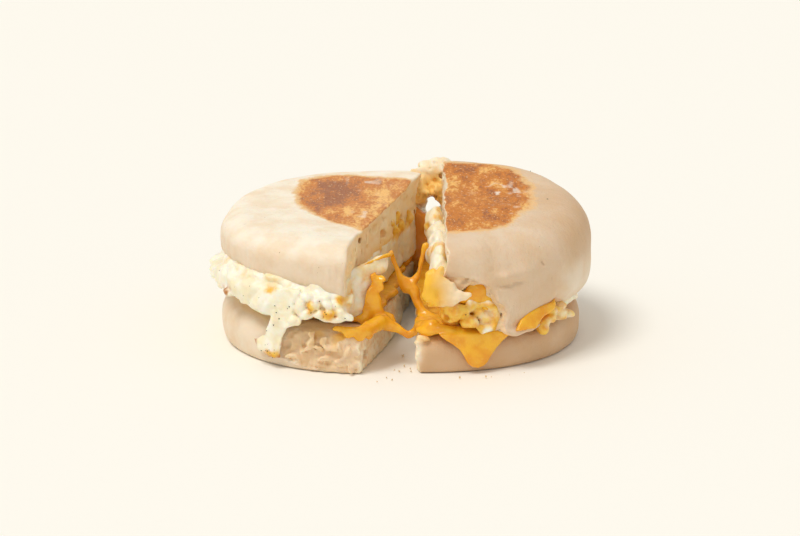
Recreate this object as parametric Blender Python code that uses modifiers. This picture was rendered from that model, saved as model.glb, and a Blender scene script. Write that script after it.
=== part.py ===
"""Egg and cheese muffin sandwich, cut in two and pulled open like a book.

The two halves of the top bread hang together by a torn hinge of crumb at the
back, and melted cheese stretches across the gap. Lengths are in metres, +Z is
up, and the origin is the middle of the footprint on the surface it stands on.
"""
import math
import random
from collections import namedtuple

import bmesh
import bpy
import numpy as np
from mathutils import Euler, Matrix, Vector, noise

MM = 0.001
GAP = 0.35 * MM
SAME_POINT = 0.03 * MM

Disc = namedtuple("Disc", "x y radius")
LEFT = Disc(-5.5 * MM, 2.0 * MM, 56.5 * MM)
RIGHT_BASE = Disc(7.0 * MM, 3.0 * MM, 55.0 * MM)
RIGHT_TOP = Disc(10.0 * MM, 1.0 * MM, 55.5 * MM)
OUTLINE_POWER = 2.2
TO_ORIGIN = Vector((0.0, -2.0 * MM, 0.0))

LEFT_BASE_TOP = 14.6 * MM
RIGHT_BASE_TOP = 12.6 * MM
LEFT_CROWN = 43.8 * MM
RIGHT_CROWN = 47.3 * MM
RIGHT_TILT = 0.02
UNDERSIDE = 29.6 * MM

# Lowest edge of each top half against the angle round its middle, in degrees.
LEFT_LIP = ((-180, -150, -127, -115, -100, 90, 135, 180), (31, 31.6, 31, 29.8, 28.4, 29, 30, 31))
RIGHT_LIP = ((-100, -77, -70, -65, -62, -51, -44, -38, -28, 0, 60, 100),
             (33, 32, 26, 18, 14.2, 14, 19.5, 20, 15.5, 17, 18, 28))

# The cuts, as x against y in millimetres.
LEFT_TOP_CUT = ((-60, -40, 32, 60), (-24.2, -18.2, 3.5, 10.5))
RIGHT_TOP_CUT = ((-60, 60), (15.5, 15.5))
LEFT_BASE_CUT = ((-60, -53, -9, 20, 60), (-16, -14, -1.7, 0, 0))
RIGHT_BASE_CUT = ((-60, 60), (5.6, 6.6))

TRIANGLES = {"egg_left": 1850, "egg_right": 1550, "cheese": 1750}
NOISE_SEED = 7


def clear_scene():
    for obj in list(bpy.data.objects):
        bpy.data.objects.remove(obj)


def make_collection(name):
    collection = bpy.data.collections.new(name)
    bpy.context.scene.collection.children.link(collection)
    return collection


def make_material(name, colour, roughness):
    material = bpy.data.materials.new(name)
    material.use_nodes = True
    shader = material.node_tree.nodes["Principled BSDF"]
    shader.inputs["Base Color"].default_value = (*colour, 1.0)
    shader.inputs["Roughness"].default_value = roughness
    shader.inputs["Metallic"].default_value = 0.0
    return material


def add_object(name, mesh, collection):
    obj = bpy.data.objects.new(name, mesh)
    collection.objects.link(obj)
    return obj


def bake(obj):
    """Replace the object's mesh by the one that its modifiers give."""
    graph = bpy.context.evaluated_depsgraph_get()
    mesh = bpy.data.meshes.new_from_object(obj.evaluated_get(graph))
    obj.modifiers.clear()
    obj.data = mesh
    return obj


def warp(obj, rule):
    """Move every point of the mesh to the place that the rule gives for it."""
    for vertex in obj.data.vertices:
        vertex.co = rule(vertex.co)
    obj.data.update()


def keep_largest(obj):
    """Drop loose scraps that a cut has left."""
    mesh = bmesh.new()
    mesh.from_mesh(obj.data)
    waiting = set(mesh.verts)
    islands = []
    while waiting:
        island = {waiting.pop()}
        front = list(island)
        while front:
            vertex = front.pop()
            for edge in vertex.link_edges:
                other = edge.other_vert(vertex)
                if other in waiting:
                    waiting.discard(other)
                    island.add(other)
                    front.append(other)
        islands.append(island)
    largest = max(islands, key=len)
    scraps = [vertex for vertex in mesh.verts if vertex not in largest]
    bmesh.ops.delete(mesh, geom=scraps, context="VERTS")
    mesh.to_mesh(obj.data)
    mesh.free()


def weld(obj):
    """Merge the near-double points that a cut leaves and drop faces without area."""
    mesh = bmesh.new()
    mesh.from_mesh(obj.data)
    bmesh.ops.remove_doubles(mesh, verts=mesh.verts, dist=SAME_POINT)
    bmesh.ops.dissolve_degenerate(mesh, edges=mesh.edges, dist=SAME_POINT)
    mesh.to_mesh(obj.data)
    mesh.free()


def boolean(obj, other, operation, solver="EXACT"):
    modifier = obj.modifiers.new(operation.lower(), "BOOLEAN")
    modifier.operation = operation
    modifier.object = other
    modifier.solver = solver
    bake(obj)
    weld(obj)
    bpy.data.objects.remove(other)


def outline_radius(disc, angle):
    """Distance from the middle of a bread round to its slightly squared edge."""
    power = OUTLINE_POWER
    spread = abs(math.cos(angle)) ** power + abs(math.sin(angle)) ** power
    return disc.radius * spread ** (-1.0 / power)


def rim_point(disc, degrees, height, proud=0.0):
    """A point on the side of a bread round, or proud of it."""
    angle = math.radians(degrees)
    reach = outline_radius(disc, angle) + proud
    return Vector((disc.x + reach * math.cos(angle), disc.y + reach * math.sin(angle), height))


def slab_profile(shoulder, flat_points, side_points):
    """Half section of a slab: part of the radius outwards, part of the height upwards."""
    points = [((1.0 - shoulder) * step / flat_points, 1.0) for step in range(flat_points)]
    for step in range(side_points + 1):
        angle = math.pi * (0.5 - step / side_points)
        bulge = abs(math.cos(angle)) ** 0.8
        rise = math.copysign(abs(math.sin(angle)) ** 0.8, angle)
        points.append((1.0 - shoulder + shoulder * bulge, 0.5 + 0.5 * rise))
    points += [((1.0 - shoulder) * step / flat_points, 0.0) for step in range(flat_points - 1, -1, -1)]
    return points


def turned_slab(name, disc, lower, upper, collection, shoulder=0.16, flat_points=5,
                side_points=8, steps=64, roughness=0.5 * MM):
    """Turn a slab, then give it its outline, its heights and an uneven surface.

    lower and upper give the height for an angle and a part of the radius.
    """
    profile = bpy.data.meshes.new(name)
    points = [(part * disc.radius, 0.0, height * disc.radius)
              for part, height in slab_profile(shoulder, flat_points, side_points)]
    edges = [(index, index + 1) for index in range(len(points) - 1)]
    profile.from_pydata(points, edges, [])
    obj = add_object(name, profile, collection)
    screw = obj.modifiers.new("turn", "SCREW")
    screw.axis = "Z"
    screw.steps = steps
    screw.render_steps = steps
    screw.use_merge_vertices = True
    screw.merge_threshold = SAME_POINT
    bake(obj)

    def place(point):
        angle = math.atan2(point.y, point.x)
        part = math.hypot(point.x, point.y) / disc.radius
        reach = part * outline_radius(disc, angle)
        low = lower(angle, part)
        height = low + (upper(angle, part) - low) * point.z / disc.radius
        spot = Vector((disc.x + reach * math.cos(angle), disc.y + reach * math.sin(angle), height))
        if height > 0.2 * MM:
            spot += roughness * noise.noise_vector(spot / (14.0 * MM))
        return spot

    warp(obj, place)
    return obj


def knife(name, cut, side, rough, collection):
    """A block that fills everything on one side of a cut, with an uneven face."""
    length, height, cell = 140.0 * MM, 120.0 * MM, 6.0 * MM
    block = bmesh.new()
    bmesh.ops.create_grid(block, x_segments=round(length / cell), y_segments=round(height / cell),
                          size=0.5, matrix=Matrix.Diagonal((length, height, 1.0, 1.0)))
    for vertex in block.verts:
        along, up = vertex.co.x, vertex.co.y
        across = float(np.interp(along / MM, *cut)) * MM
        bump = rough * noise.noise(Vector((along, up, side * length)) / (5.0 * MM))
        vertex.co = Vector((across + bump, along, up + 0.25 * height))
    extruded = bmesh.ops.extrude_face_region(block, geom=block.faces[:])
    for item in extruded["geom"]:
        if isinstance(item, bmesh.types.BMVert):
            item.co.x = side * length
    bmesh.ops.recalc_face_normals(block, faces=block.faces)
    mesh = bpy.data.meshes.new(name)
    block.to_mesh(mesh)
    block.free()
    return add_object(name, mesh, collection)


def blob(name, centre, radii, collection, turn=(0.0, 0.0, 0.0), detail=2):
    """A ball pulled to three radii and turned, in millimetres and degrees."""
    place = Matrix.Translation(Vector(centre) * MM)
    spin = Euler([math.radians(value) for value in turn]).to_matrix().to_4x4()
    size = Matrix.Diagonal((*(Vector(radii) * MM), 1.0))
    ball = bmesh.new()
    bmesh.ops.create_icosphere(ball, subdivisions=detail, radius=1.0, matrix=place @ spin @ size)
    mesh = bpy.data.meshes.new(name)
    ball.to_mesh(mesh)
    ball.free()
    return add_object(name, mesh, collection)


def tube(name, points, radii, collection):
    """A smooth tube through the points, as thick at each as its radius, in millimetres."""
    curve = bpy.data.curves.new(name, "CURVE")
    curve.dimensions = "3D"
    curve.bevel_depth = MM
    curve.bevel_resolution = 2
    curve.resolution_u = 6
    curve.use_fill_caps = True
    spline = curve.splines.new("NURBS")
    spline.points.add(len(points) - 1)
    for item, point, radius in zip(spline.points, points, radii):
        item.co = (*(Vector(point) * MM), 1.0)
        item.radius = radius
    spline.order_u = 3
    spline.use_endpoint_u = True
    guide = add_object(name, curve, collection)
    graph = bpy.context.evaluated_depsgraph_get()
    mesh = bpy.data.meshes.new_from_object(guide.evaluated_get(graph))
    bpy.data.objects.remove(guide)
    solid = bmesh.new()
    solid.from_mesh(mesh)
    bmesh.ops.remove_doubles(solid, verts=solid.verts, dist=SAME_POINT)
    solid.to_mesh(mesh)
    solid.free()
    return add_object(name, mesh, collection)


def fuse(name, pieces, voxel, triangles, collection):
    """Melt overlapping pieces into one soft closed form of about so many triangles."""
    joined = bmesh.new()
    for piece in pieces:
        joined.from_mesh(piece.data)
        bpy.data.objects.remove(piece)
    mesh = bpy.data.meshes.new(name)
    joined.to_mesh(mesh)
    joined.free()
    obj = add_object(name, mesh, collection)
    remesh = obj.modifiers.new("melt", "REMESH")
    remesh.mode = "VOXEL"
    remesh.voxel_size = voxel
    smooth = obj.modifiers.new("soften", "SMOOTH")
    smooth.factor = 0.5
    smooth.iterations = 2
    bake(obj)
    obj.data.calc_loop_triangles()
    fewer = obj.modifiers.new("fewer", "DECIMATE")
    fewer.ratio = min(1.0, triangles / len(obj.data.loop_triangles))
    bake(obj)
    keep_largest(obj)
    return obj


def cut_clear(obj, neighbours, collection):
    """Cut the object back to leave a thin gap to each neighbour."""
    for neighbour in neighbours:
        cutter = add_object(neighbour.name + "_room", neighbour.data.copy(), collection)
        swell = cutter.modifiers.new("swell", "DISPLACE")
        swell.mid_level = 0.0
        swell.strength = GAP
        bake(cutter)
        boolean(obj, cutter, "DIFFERENCE")
    keep_largest(obj)


def level(height):
    return lambda angle, part: height


def lip(keys, disc_underside, start, stop):
    """Underside that drops, or rises, from its inner height to the lip at the rim."""
    def height(angle, part):
        edge = float(np.interp(math.degrees(angle), *keys)) * MM
        share = min(1.0, max(0.0, (part - start) / (stop - start)))
        share = share * share * (3.0 - 2.0 * share)
        return disc_underside + (edge - disc_underside) * share
    return height


def crown(height, sag, rise_to_back=0.0):
    """Griddled top: flat in the middle, falling gently towards the shoulder."""
    return lambda angle, part: height - sag * part ** 6 + rise_to_back * part * math.sin(angle)


def crumb_cluster(seed, count, middle, spread, size, collection):
    """Fluffy torn crumb: overlapping lumps scattered about a middle, in millimetres."""
    draw = random.Random(seed)
    lumps = []
    for index in range(count):
        centre = [middle[axis] + spread[axis] * draw.uniform(-1.0, 1.0) for axis in range(3)]
        radii = [size * draw.uniform(0.7, 1.3) for axis in range(3)]
        turn = [draw.uniform(0.0, 90.0) for axis in range(3)]
        lumps.append(blob(f"lump_{index}", centre, radii, collection, turn))
    return lumps


def torn_hinge(collection):
    """The crumb that still joins the top halves: an arch with a ragged underside."""
    pieces = [tube("arch", ((0, 47.5, 39.0), (6, 50, 41.2), (12, 50, 42.6), (21, 48.5, 42.0)),
                   (4.4, 4.6, 4.6, 4.6), collection)]
    pieces += crumb_cluster(11, 9, (9.0, 47, 40.0), (5.0, 3.0, 2.4), 2.6, collection)
    pieces += crumb_cluster(12, 6, (9.0, 51, 43), (4.5, 1.6, 1.8), 2.4, collection)
    return fuse("hinge", pieces, 1.0 * MM, 480, collection)


def muffin_top(parts, scratch):
    """Both top halves and their hinge: one solid."""
    left = turned_slab("top_left", LEFT, lip(LEFT_LIP, UNDERSIDE, 0.75, 0.95),
                       crown(LEFT_CROWN, 1.2 * MM), scratch, shoulder=0.17, steps=60)
    boolean(left, knife("left_knife", LEFT_TOP_CUT, 1, 1.0 * MM, scratch), "DIFFERENCE")
    right = turned_slab("top_right", RIGHT_TOP, lip(RIGHT_LIP, UNDERSIDE, 0.72, 0.9),
                        crown(RIGHT_CROWN, 2.0 * MM, RIGHT_TILT * RIGHT_TOP.radius), scratch, shoulder=0.24, side_points=11)
    boolean(right, knife("right_knife", RIGHT_TOP_CUT, -1, 1.0 * MM, scratch), "DIFFERENCE")
    flap = fuse("flap", [
        blob("flap_a", (17.5, -54.2, 30.0), (7.0, 1.7, 4.6), scratch, (8, 10, 4)),
        blob("flap_b", (12.0, -54.8, 28.6), (4.6, 1.7, 5.2), scratch, (4, -12, 8)),
        blob("flap_c", (19.0, -51.5, 34.0), (4.5, 2.6, 3.4), scratch)], 0.9 * MM, 180, scratch)
    whole = add_object("muffin_top", left.data, parts)
    bpy.data.objects.remove(left)
    for piece in (right, torn_hinge(scratch), flap):
        if piece is right:
            joined = bmesh.new()
            joined.from_mesh(whole.data)
            joined.from_mesh(right.data)
            joined.to_mesh(whole.data)
            joined.free()
            bpy.data.objects.remove(right)
        else:
            boolean(whole, piece, "UNION", "MANIFOLD")
    return whole


def base_half(name, disc, top, cut, side, parts, scratch):
    """Half of the bottom bread, flat underneath."""
    half = turned_slab(name, disc, level(0.0), crown(top, 1.2 * MM), parts, shoulder=0.1,
                       flat_points=3, side_points=7, steps=60, roughness=0.35 * MM)
    boolean(half, knife(name + "_knife", cut, side, 1.2 * MM, scratch), "DIFFERENCE")
    return half


def tear_base(base, scratch):
    """Skin torn off the front corner of the left base, with shreds of crumb on it."""
    for centre, radii in (((-29.0, -54.5, 13.5), (8.5, 5.5, 7.0)), ((-20.0, -56.5, 11.5), (6.0, 4.6, 6.0))):
        boolean(base, blob("bite", centre, radii, scratch), "DIFFERENCE")
    draw = random.Random(5)
    shreds = []
    for index in range(7):
        degrees = -120.0 + 20.0 * index / 6.0
        spot = rim_point(LEFT, degrees, 0.0, -2.6 * MM) / MM
        centre = (spot.x, spot.y, draw.uniform(5.0, 11.0))
        radii = (draw.uniform(1.2, 2.2), draw.uniform(1.2, 1.8), draw.uniform(1.6, 3.2))
        shreds.append(blob(f"shred_{index}", centre, radii, scratch, (0, draw.uniform(-30, 30), 0)))
    boolean(base, fuse("shreds", shreds, 0.6 * MM, 260, scratch), "UNION")


def ruffle(disc, first, last, count, height, proud, size, seed, scratch):
    """Egg lobes along the rim, each a little different."""
    draw = random.Random(seed)
    lobes = []
    for index in range(count):
        degrees = first + (last - first) * index / (count - 1)
        spot = rim_point(disc, degrees, 0.0, (proud - size + draw.uniform(-1.0, 1.0)) * MM) / MM
        centre = (spot.x, spot.y, height + draw.uniform(-1.5, 1.5))
        radii = (size * 1.15, size * draw.uniform(0.9, 1.5), size * draw.uniform(0.7, 0.9))
        turn = (draw.uniform(-25, 25), draw.uniform(-20, 20), degrees)
        lobes.append(blob(f"lobe_{seed}_{index}", centre, radii, scratch, turn))
    return lobes


def egg_left(scratch):
    core = turned_slab("core", LEFT._replace(radius=54.0 * MM), level(17.8 * MM), level(32.5 * MM),
                       scratch, shoulder=0.08, flat_points=3, side_points=6, steps=48, roughness=0.0)
    boolean(core, knife("core_knife", LEFT_TOP_CUT, 1, 1.5 * MM, scratch), "DIFFERENCE")
    pieces = [core]
    pieces += ruffle(LEFT, -205, -128, 8, 25.4, 2.8, 5.0, 21, scratch)
    pieces += ruffle(LEFT, -170, -128, 5, 21.0, 1.6, 4.2, 22, scratch)
    pieces += ruffle(LEFT, 80, 150, 7, 24.0, 1.5, 4.4, 23, scratch)
    strip = ((-121.5, 27.0, 1.2), (-124.0, 21.0, 2.6), (-127.0, 14.0, 2.7), (-130.5, 8.0, 2.5), (-132.5, 4.6, 2.1))
    pieces.append(tube("strip", [rim_point(LEFT, angle, height * MM, 1.9 * MM) / MM
                                 for angle, height, wide in strip],
                       [wide for angle, height, wide in strip], scratch))
    pieces += [
        blob("strip_wide", rim_point(LEFT, -123.5, 22 * MM, 1.4 * MM) / MM, (3.6, 2.0, 6.0), scratch, (0, 12, 30)),
        blob("lump_a", (-30.0, -50.5, 24.0), (5.2, 4.6, 4.2), scratch, (0, 0, 10)),
        blob("lump_b", (-22.5, -51.5, 24.6), (5.4, 4.6, 4.6), scratch, (0, -10, 0)),
        blob("lump_c", (-17.6, -50.5, 21.6), (3.8, 4.2, 3.4), scratch),
        blob("curl", (-35.0, -49.6, 18.4), (3.0, 2.6, 1.8), scratch),
        blob("fold_a", (-11.8, -42.5, 26.0), (3.0, 5.0, 9.5), scratch, (8, 8, 14)),
        blob("fold_b", (-9.5, -39.5, 19.0), (2.4, 4.6, 5.6), scratch, (-8, 14, 14)),
        blob("fold_c", (-9.0, -31.0, 31.0), (3.2, 5.5, 4.0), scratch, (0, 0, 16)),
        blob("fold_d", (-3.5, -8.0, 29.0), (3.2, 8.0, 4.0), scratch, (0, 0, 16)),
        blob("fold_e", (1.5, 14.0, 29.5), (3.0, 8.0, 4.5), scratch, (0, 0, 16))]
    return fuse("egg_left", pieces, 1.1 * MM, TRIANGLES["egg_left"], scratch)


def egg_right(scratch):
    core = turned_slab("core", RIGHT_BASE._replace(radius=53.0 * MM), level(15.8 * MM), level(33.0 * MM),
                       scratch, shoulder=0.08, flat_points=3, side_points=6, steps=48, roughness=0.0)
    cut = (RIGHT_TOP_CUT[0], tuple(x - 2.0 for x in RIGHT_TOP_CUT[1]))
    boolean(core, knife("core_knife", cut, -1, 1.5 * MM, scratch), "DIFFERENCE")
    pieces = [core]
    draw = random.Random(31)
    for index in range(7):
        along = -46.0 + 9.0 * index
        centre = (13.0 + draw.uniform(-0.8, 0.8), along, 31.5 + draw.uniform(-1.5, 2.5))
        radii = (3.6, 6.2, draw.uniform(5.5, 7.5))
        pieces.append(blob(f"fold_{index}", centre, radii, scratch, (draw.uniform(-20, 20), 0, 0)))
    pieces += [
        blob("scramble_a", (19.0, -49.5, 21.5), (5.5, 4.2, 4.0), scratch, (0, 12, 0)),
        blob("scramble_b", (27.0, -49.0, 19.4), (5.4, 4.2, 4.4), scratch, (0, -18, 10)),
        blob("scramble_c", (23.5, -50.4, 16.4), (4.6, 3.2, 2.6), scratch),
        blob("scramble_d", (30.5, -46.5, 23.5), (4.2, 4.0, 4.6), scratch),
        blob("nub_a", (47.0, -39.2, 13.2), (3.6, 3.4, 3.0), scratch, (0, 0, 40)),
        blob("nub_b", (53.6, -30.0, 15.6), (3.4, 3.6, 4.0), scratch, (0, 0, 50))]
    pieces += ruffle(RIGHT_BASE, -20, 80, 8, 16.4, 0.6, 3.4, 32, scratch)
    return fuse("egg_right", pieces, 1.1 * MM, TRIANGLES["egg_right"], scratch)


def drip(scratch):
    """Cheese run down the front of the right base, wide above and narrow at its tip."""
    rows = 7
    top, tip = 13.4, 4.0
    pieces = []
    for row in range(rows):
        share = row / (rows - 1)
        height = top + (tip - top) * share
        middle = -66.0 - 4.8 * share
        reach = 12.0 * (1.0 - share) ** 1.3 + 1.2
        points = [rim_point(RIGHT_BASE, middle + reach * step, height * MM, 1.0 * MM) / MM for step in (-1, -0.4, 0.4, 1)]
        pieces.append(tube(f"drip_{row}", points, (1.2, 1.6, 1.6, 1.2), scratch))
    pieces.append(blob("drip_tip", rim_point(RIGHT_BASE, -70.8, 4.2 * MM, 1.2 * MM) / MM, (2.3, 1.5, 2.2), scratch))
    return pieces


def cheese(scratch):
    """Both slices, melted, with the mass, the strands and the web between the halves."""
    pieces = []
    for disc, low, cut, side in ((LEFT, LEFT_BASE_TOP, LEFT_BASE_CUT, 1),
                                 (RIGHT_BASE, RIGHT_BASE_TOP, RIGHT_BASE_CUT, -1)):
        slice_disc = disc._replace(radius=disc.radius - 2.0 * MM)
        sheet = turned_slab("slice", slice_disc, level(low + 0.9 * MM), level(low + 2.5 * MM), scratch,
                            shoulder=0.03, flat_points=3, side_points=4, steps=48, roughness=0.0)
        boolean(sheet, knife("slice_knife", cut, side, 1.0 * MM, scratch), "DIFFERENCE")
        pieces.append(sheet)
    pieces += [
        blob("mass_a", (-6.6, -33.0, 24.5), (2.9, 4.0, 5.4), scratch, (0, 10, 0)),
        blob("mass_b", (-6.0, -34.0, 17.0), (3.6, 4.4, 5.4), scratch),
        blob("mass_c", (-7.0, -36.0, 11.2), (2.6, 4.0, 4.0), scratch),
        blob("mass_d", (-10.5, -42.5, 14.6), (5.0, 4.6, 2.4), scratch, (0, 0, 20)),
        blob("hook", (-1.6, -39.0, 16.4), (2.2, 1.8, 2.6), scratch, (0, 30, 0)),
        blob("blob_y", (2.0, -28.0, 24.4), (2.9, 2.2, 3.4), scratch),
        blob("web_a", (4.0, 38.0, 19.0), (5.2, 7.0, 2.6), scratch, (0, 12, 0)),
        blob("web_b", (5.0, 44.0, 23.0), (4.8, 4.0, 3.0), scratch, (0, -20, 0))]
    pieces += [
        tube("main_strand", ((-9, -42, 15.4), (-2.6, -42, 14.2), (2.6, -42, 10.4), (6.5, -42, 12.2), (14, -45, 14.0)),
             (2.6, 1.7, 1.4, 1.7, 2.4), scratch),
        tube("y_left", ((-7.2, -31, 27), (-5.6, -29, 34.5), (-3.8, -28.5, 36), (-2.0, -28, 30), (1.4, -28, 24.6)),
             (2.0, 1.3, 1.0, 1.1, 2.0), scratch),
        tube("y_right", ((2.2, -28, 24), (4.8, -28, 25.6), (6.0, -28.5, 31), (6.8, -29, 36), (8.4, -30, 34)),
             (2.0, 1.3, 1.0, 1.1, 1.3), scratch),
        tube("y_tail", ((5.0, -28, 26), (6.6, -30, 21), (7.0, -31, 15.4), (10, -33, 13.8)),
             (1.4, 2.0, 1.8, 1.6), scratch),
        tube("band", ((33, -45.5, 14.4), (40, -45.5, 15.6), (46, -42.4, 17.0), (50.5, -38, 18.4), (53, -33, 15.0)),
             (1.8, 2.0, 2.0, 1.9, 1.8), scratch)]
    pieces += drip(scratch)
    return fuse("cheese", pieces, 0.75 * MM, TRIANGLES["cheese"], scratch)


def finish(obj, name, colour, roughness, parts):
    if obj.name not in parts.objects:
        for collection in obj.users_collection:
            collection.objects.unlink(obj)
        parts.objects.link(obj)
    obj.name = name
    obj.data.materials.clear()
    obj.data.materials.append(make_material(name, colour, roughness))
    obj.data.transform(Matrix.Translation(TO_ORIGIN))
    obj.data.shade_smooth()
    obj.data.set_sharp_from_angle(angle=math.radians(40))


def main():
    clear_scene()
    noise.seed_set(NOISE_SEED)
    parts = make_collection("english_muffin")
    scratch = make_collection("scratch")
    top = muffin_top(parts, scratch)
    base_left = base_half("muffin_base_left", LEFT, LEFT_BASE_TOP, LEFT_BASE_CUT, 1, parts, scratch)
    tear_base(base_left, scratch)
    base_right = base_half("muffin_base_right", RIGHT_BASE, RIGHT_BASE_TOP, RIGHT_BASE_CUT, -1, parts, scratch)
    left_egg = egg_left(scratch)
    cut_clear(left_egg, (top, base_left), scratch)
    right_egg = egg_right(scratch)
    cut_clear(right_egg, (top, base_right), scratch)
    melted = cheese(scratch)
    cut_clear(melted, (top, base_left, base_right, left_egg, right_egg), scratch)
    finish(top, "muffin_top", (0.83, 0.66, 0.46), 0.8, parts)
    finish(base_left, "muffin_base_left", (0.80, 0.62, 0.42), 0.8, parts)
    finish(base_right, "muffin_base_right", (0.80, 0.62, 0.42), 0.8, parts)
    finish(left_egg, "egg_left", (0.93, 0.85, 0.55), 0.45, parts)
    finish(right_egg, "egg_right", (0.93, 0.82, 0.42), 0.45, parts)
    finish(melted, "cheese", (0.95, 0.48, 0.05), 0.35, parts)
    bpy.data.collections.remove(scratch)


main()
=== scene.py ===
"""Egg and cheese muffin sandwich: the finished look of each piece.

Shapes are distance fields in millimetres, negative inside, which are meshed and
coloured by rule. +X is right, +Y is away from the camera and +Z is up.
"""
import math
from collections import namedtuple

import bpy
import numpy as np
from mathutils import Matrix, Vector


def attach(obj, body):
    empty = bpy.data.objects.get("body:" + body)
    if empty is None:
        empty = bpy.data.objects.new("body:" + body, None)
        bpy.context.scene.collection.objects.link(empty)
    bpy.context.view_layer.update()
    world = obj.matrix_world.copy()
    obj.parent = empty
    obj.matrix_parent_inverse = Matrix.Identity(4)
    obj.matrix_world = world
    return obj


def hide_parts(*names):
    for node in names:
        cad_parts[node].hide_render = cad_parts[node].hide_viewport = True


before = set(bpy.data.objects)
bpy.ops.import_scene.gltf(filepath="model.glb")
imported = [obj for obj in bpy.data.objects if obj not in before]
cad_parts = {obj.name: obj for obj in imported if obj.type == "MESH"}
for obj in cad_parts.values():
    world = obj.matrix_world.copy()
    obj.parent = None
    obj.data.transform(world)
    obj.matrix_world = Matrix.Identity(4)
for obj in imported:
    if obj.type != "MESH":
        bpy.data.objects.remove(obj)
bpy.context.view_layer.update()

MM = 0.001
TO_ORIGIN = np.array((0, -2, 0), np.float32)

Disc = namedtuple("Disc", "x y radius")
LEFT = Disc(-5, 2, 56.2)
RIGHT_BASE = Disc(7, 3, 55)
RIGHT_TOP = Disc(10, 1, 55.5)
OUTLINE_POWER = 2.2

LEFT_BASE_TOP = 14.6
RIGHT_BASE_TOP = 12.6
LEFT_CROWN = 43.8
RIGHT_CROWN = 47.3
RIGHT_TILT = 0.02
UNDERSIDE = 29.6

# Lowest edge of each top half against the angle round its middle, in degrees.
LEFT_LIP = ((-180, -160, -148, -131, -122, -115, -108, -103, 90, 135, 180),
            (29.4, 30, 30.8, 29.6, 29, 28, 26.2, 25.6, 29, 29.6, 29.4))
RIGHT_LIP = ((-100, -80, -76.5, -73.8, -71, -69, -68, -61.5, -58.5, -52, -44, -40.8, -36, -30, 0, 60, 100),
             (33, 32.6, 30.2, 28.6, 24, 20, 14, 12.9, 14.9, 17.8, 19.4, 20.6, 17.2, 17, 16.6, 18, 28))

# Where the skin is torn off beside the notch and at the left base's corner, as the angle against height.
SKIN_EDGE = ((12.9, 14.1, 17.5, 21.8, 24.7, 29.4, 30.6, 32.7, 34),
             (-62, -63.5, -64.5, -64.4, -66.6, -69.5, -72.2, -76, -81))
TEAR_EDGE = ((0, 1.5, 3.9, 7.9, 12.5, 15.5), (-104, -118, -126.5, -128.5, -124, -118))

# The cuts, as x against y.
LEFT_TOP_CUT = ((-60, -34.6, 32, 60), (-20.2, -13.8, 3.4, 10.4))
RIGHT_TOP_CUT = ((-60, 60), (15.5, 15.5))
LEFT_BASE_CUT = ((-60, -53, -9, 20, 40, 60), (-15.5, -13.4, -1.7, 1, 4.6, 5.4))
RIGHT_BASE_CUT = ((-60, 60), (5.4, 6.6))

# Distance between mesh points, share of the faces left where nothing is seen, and points done at a time.
BREAD_CELL = 0.5
FLAP_CELL = 0.4
FILLING_CELL = 0.42
BURIED_SHARE = 0.12
CHUNK = 600000


def mix(a, b, share):
    return a + (b - a) * share


def fade(low, high, value):
    """0 up to low, 1 from high on, and a soft step between. A low above high turns it round."""
    share = np.clip((value - low) / (high - low), 0, 1)
    return share * share * (3 - 2 * share)


def smooth_min(a, b, soft):
    share = np.clip(0.5 + 0.5 * (b - a) / soft, 0, 1)
    return mix(b, a, share) - soft * share * (1 - share)


def smooth_max(a, b, soft):
    return -smooth_min(-a, -b, soft)


LATTICE = 32


def lattice(seed, channels=1):
    draw = np.random.default_rng(seed)
    return draw.uniform(-1, 1, (LATTICE, LATTICE, LATTICE, channels)).astype(np.float32)


def noise(p, size, seed):
    """Smooth random values from -1 to 1 with bumps of about the given size."""
    table = lattice(seed)[..., 0]
    q = p / np.asarray(size, np.float32) + np.float32(seed % 17) * 1.37
    base = np.floor(q).astype(np.int32)
    part = (q - base).astype(np.float32)
    part = part * part * (3 - 2 * part)
    ends = ((1 - part, base % LATTICE), (part, (base + 1) % LATTICE))
    total = np.zeros(len(p), np.float32)
    for step in np.ndindex(2, 2, 2):
        (wx, ix), (wy, iy), (wz, iz) = [(ends[side][0][:, axis], ends[side][1][:, axis])
                                        for axis, side in enumerate(step)]
        total += wx * wy * wz * table[ix, iy, iz]
    return total


def bubbles(p, size, seed, small, large, stretch=(1, 1, 1)):
    """Distance to the nearest of many round bubbles, one in each cell of the given size."""
    table = lattice(seed, 4)
    q = p / (np.asarray(stretch, np.float32) * size)
    base = np.floor(q).astype(np.int32)
    best = np.full(len(p), 9, np.float32)
    for step in np.ndindex(3, 3, 3):
        cell = base + np.array(step, np.int32) - 1
        wrapped = cell % LATTICE
        draw = table[wrapped[:, 0], wrapped[:, 1], wrapped[:, 2]]
        middle = cell + 0.5 + 0.45 * draw[:, :3]
        radius = small + (large - small) * (0.5 + 0.5 * draw[:, 3]) ** 2
        gap = np.sqrt(((q - middle) ** 2).sum(1)) - radius
        best = np.minimum(best, gap)
    return best * size


def swirl(p, amount, size, seed):
    """The points moved about by noise."""
    return p + amount * np.stack([noise(p, size, seed + axis) for axis in range(3)], 1)


def cut_line(cut, p):
    return np.interp(p[:, 1], *cut).astype(np.float32)


def polar(p, disc):
    """Distance from the middle, angle in degrees and distance of the slightly squared rim there."""
    dx, dy = p[:, 0] - disc.x, p[:, 1] - disc.y
    angle = np.arctan2(dy, dx)
    spread = np.abs(np.cos(angle)) ** OUTLINE_POWER + np.abs(np.sin(angle)) ** OUTLINE_POWER
    return np.hypot(dx, dy), np.degrees(angle), disc.radius * spread ** (-1 / OUTLINE_POWER)


def rim(p, disc):
    """Distance outside the rim of a round."""
    radius, degrees, reach = polar(p, disc)
    return radius - reach


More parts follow.
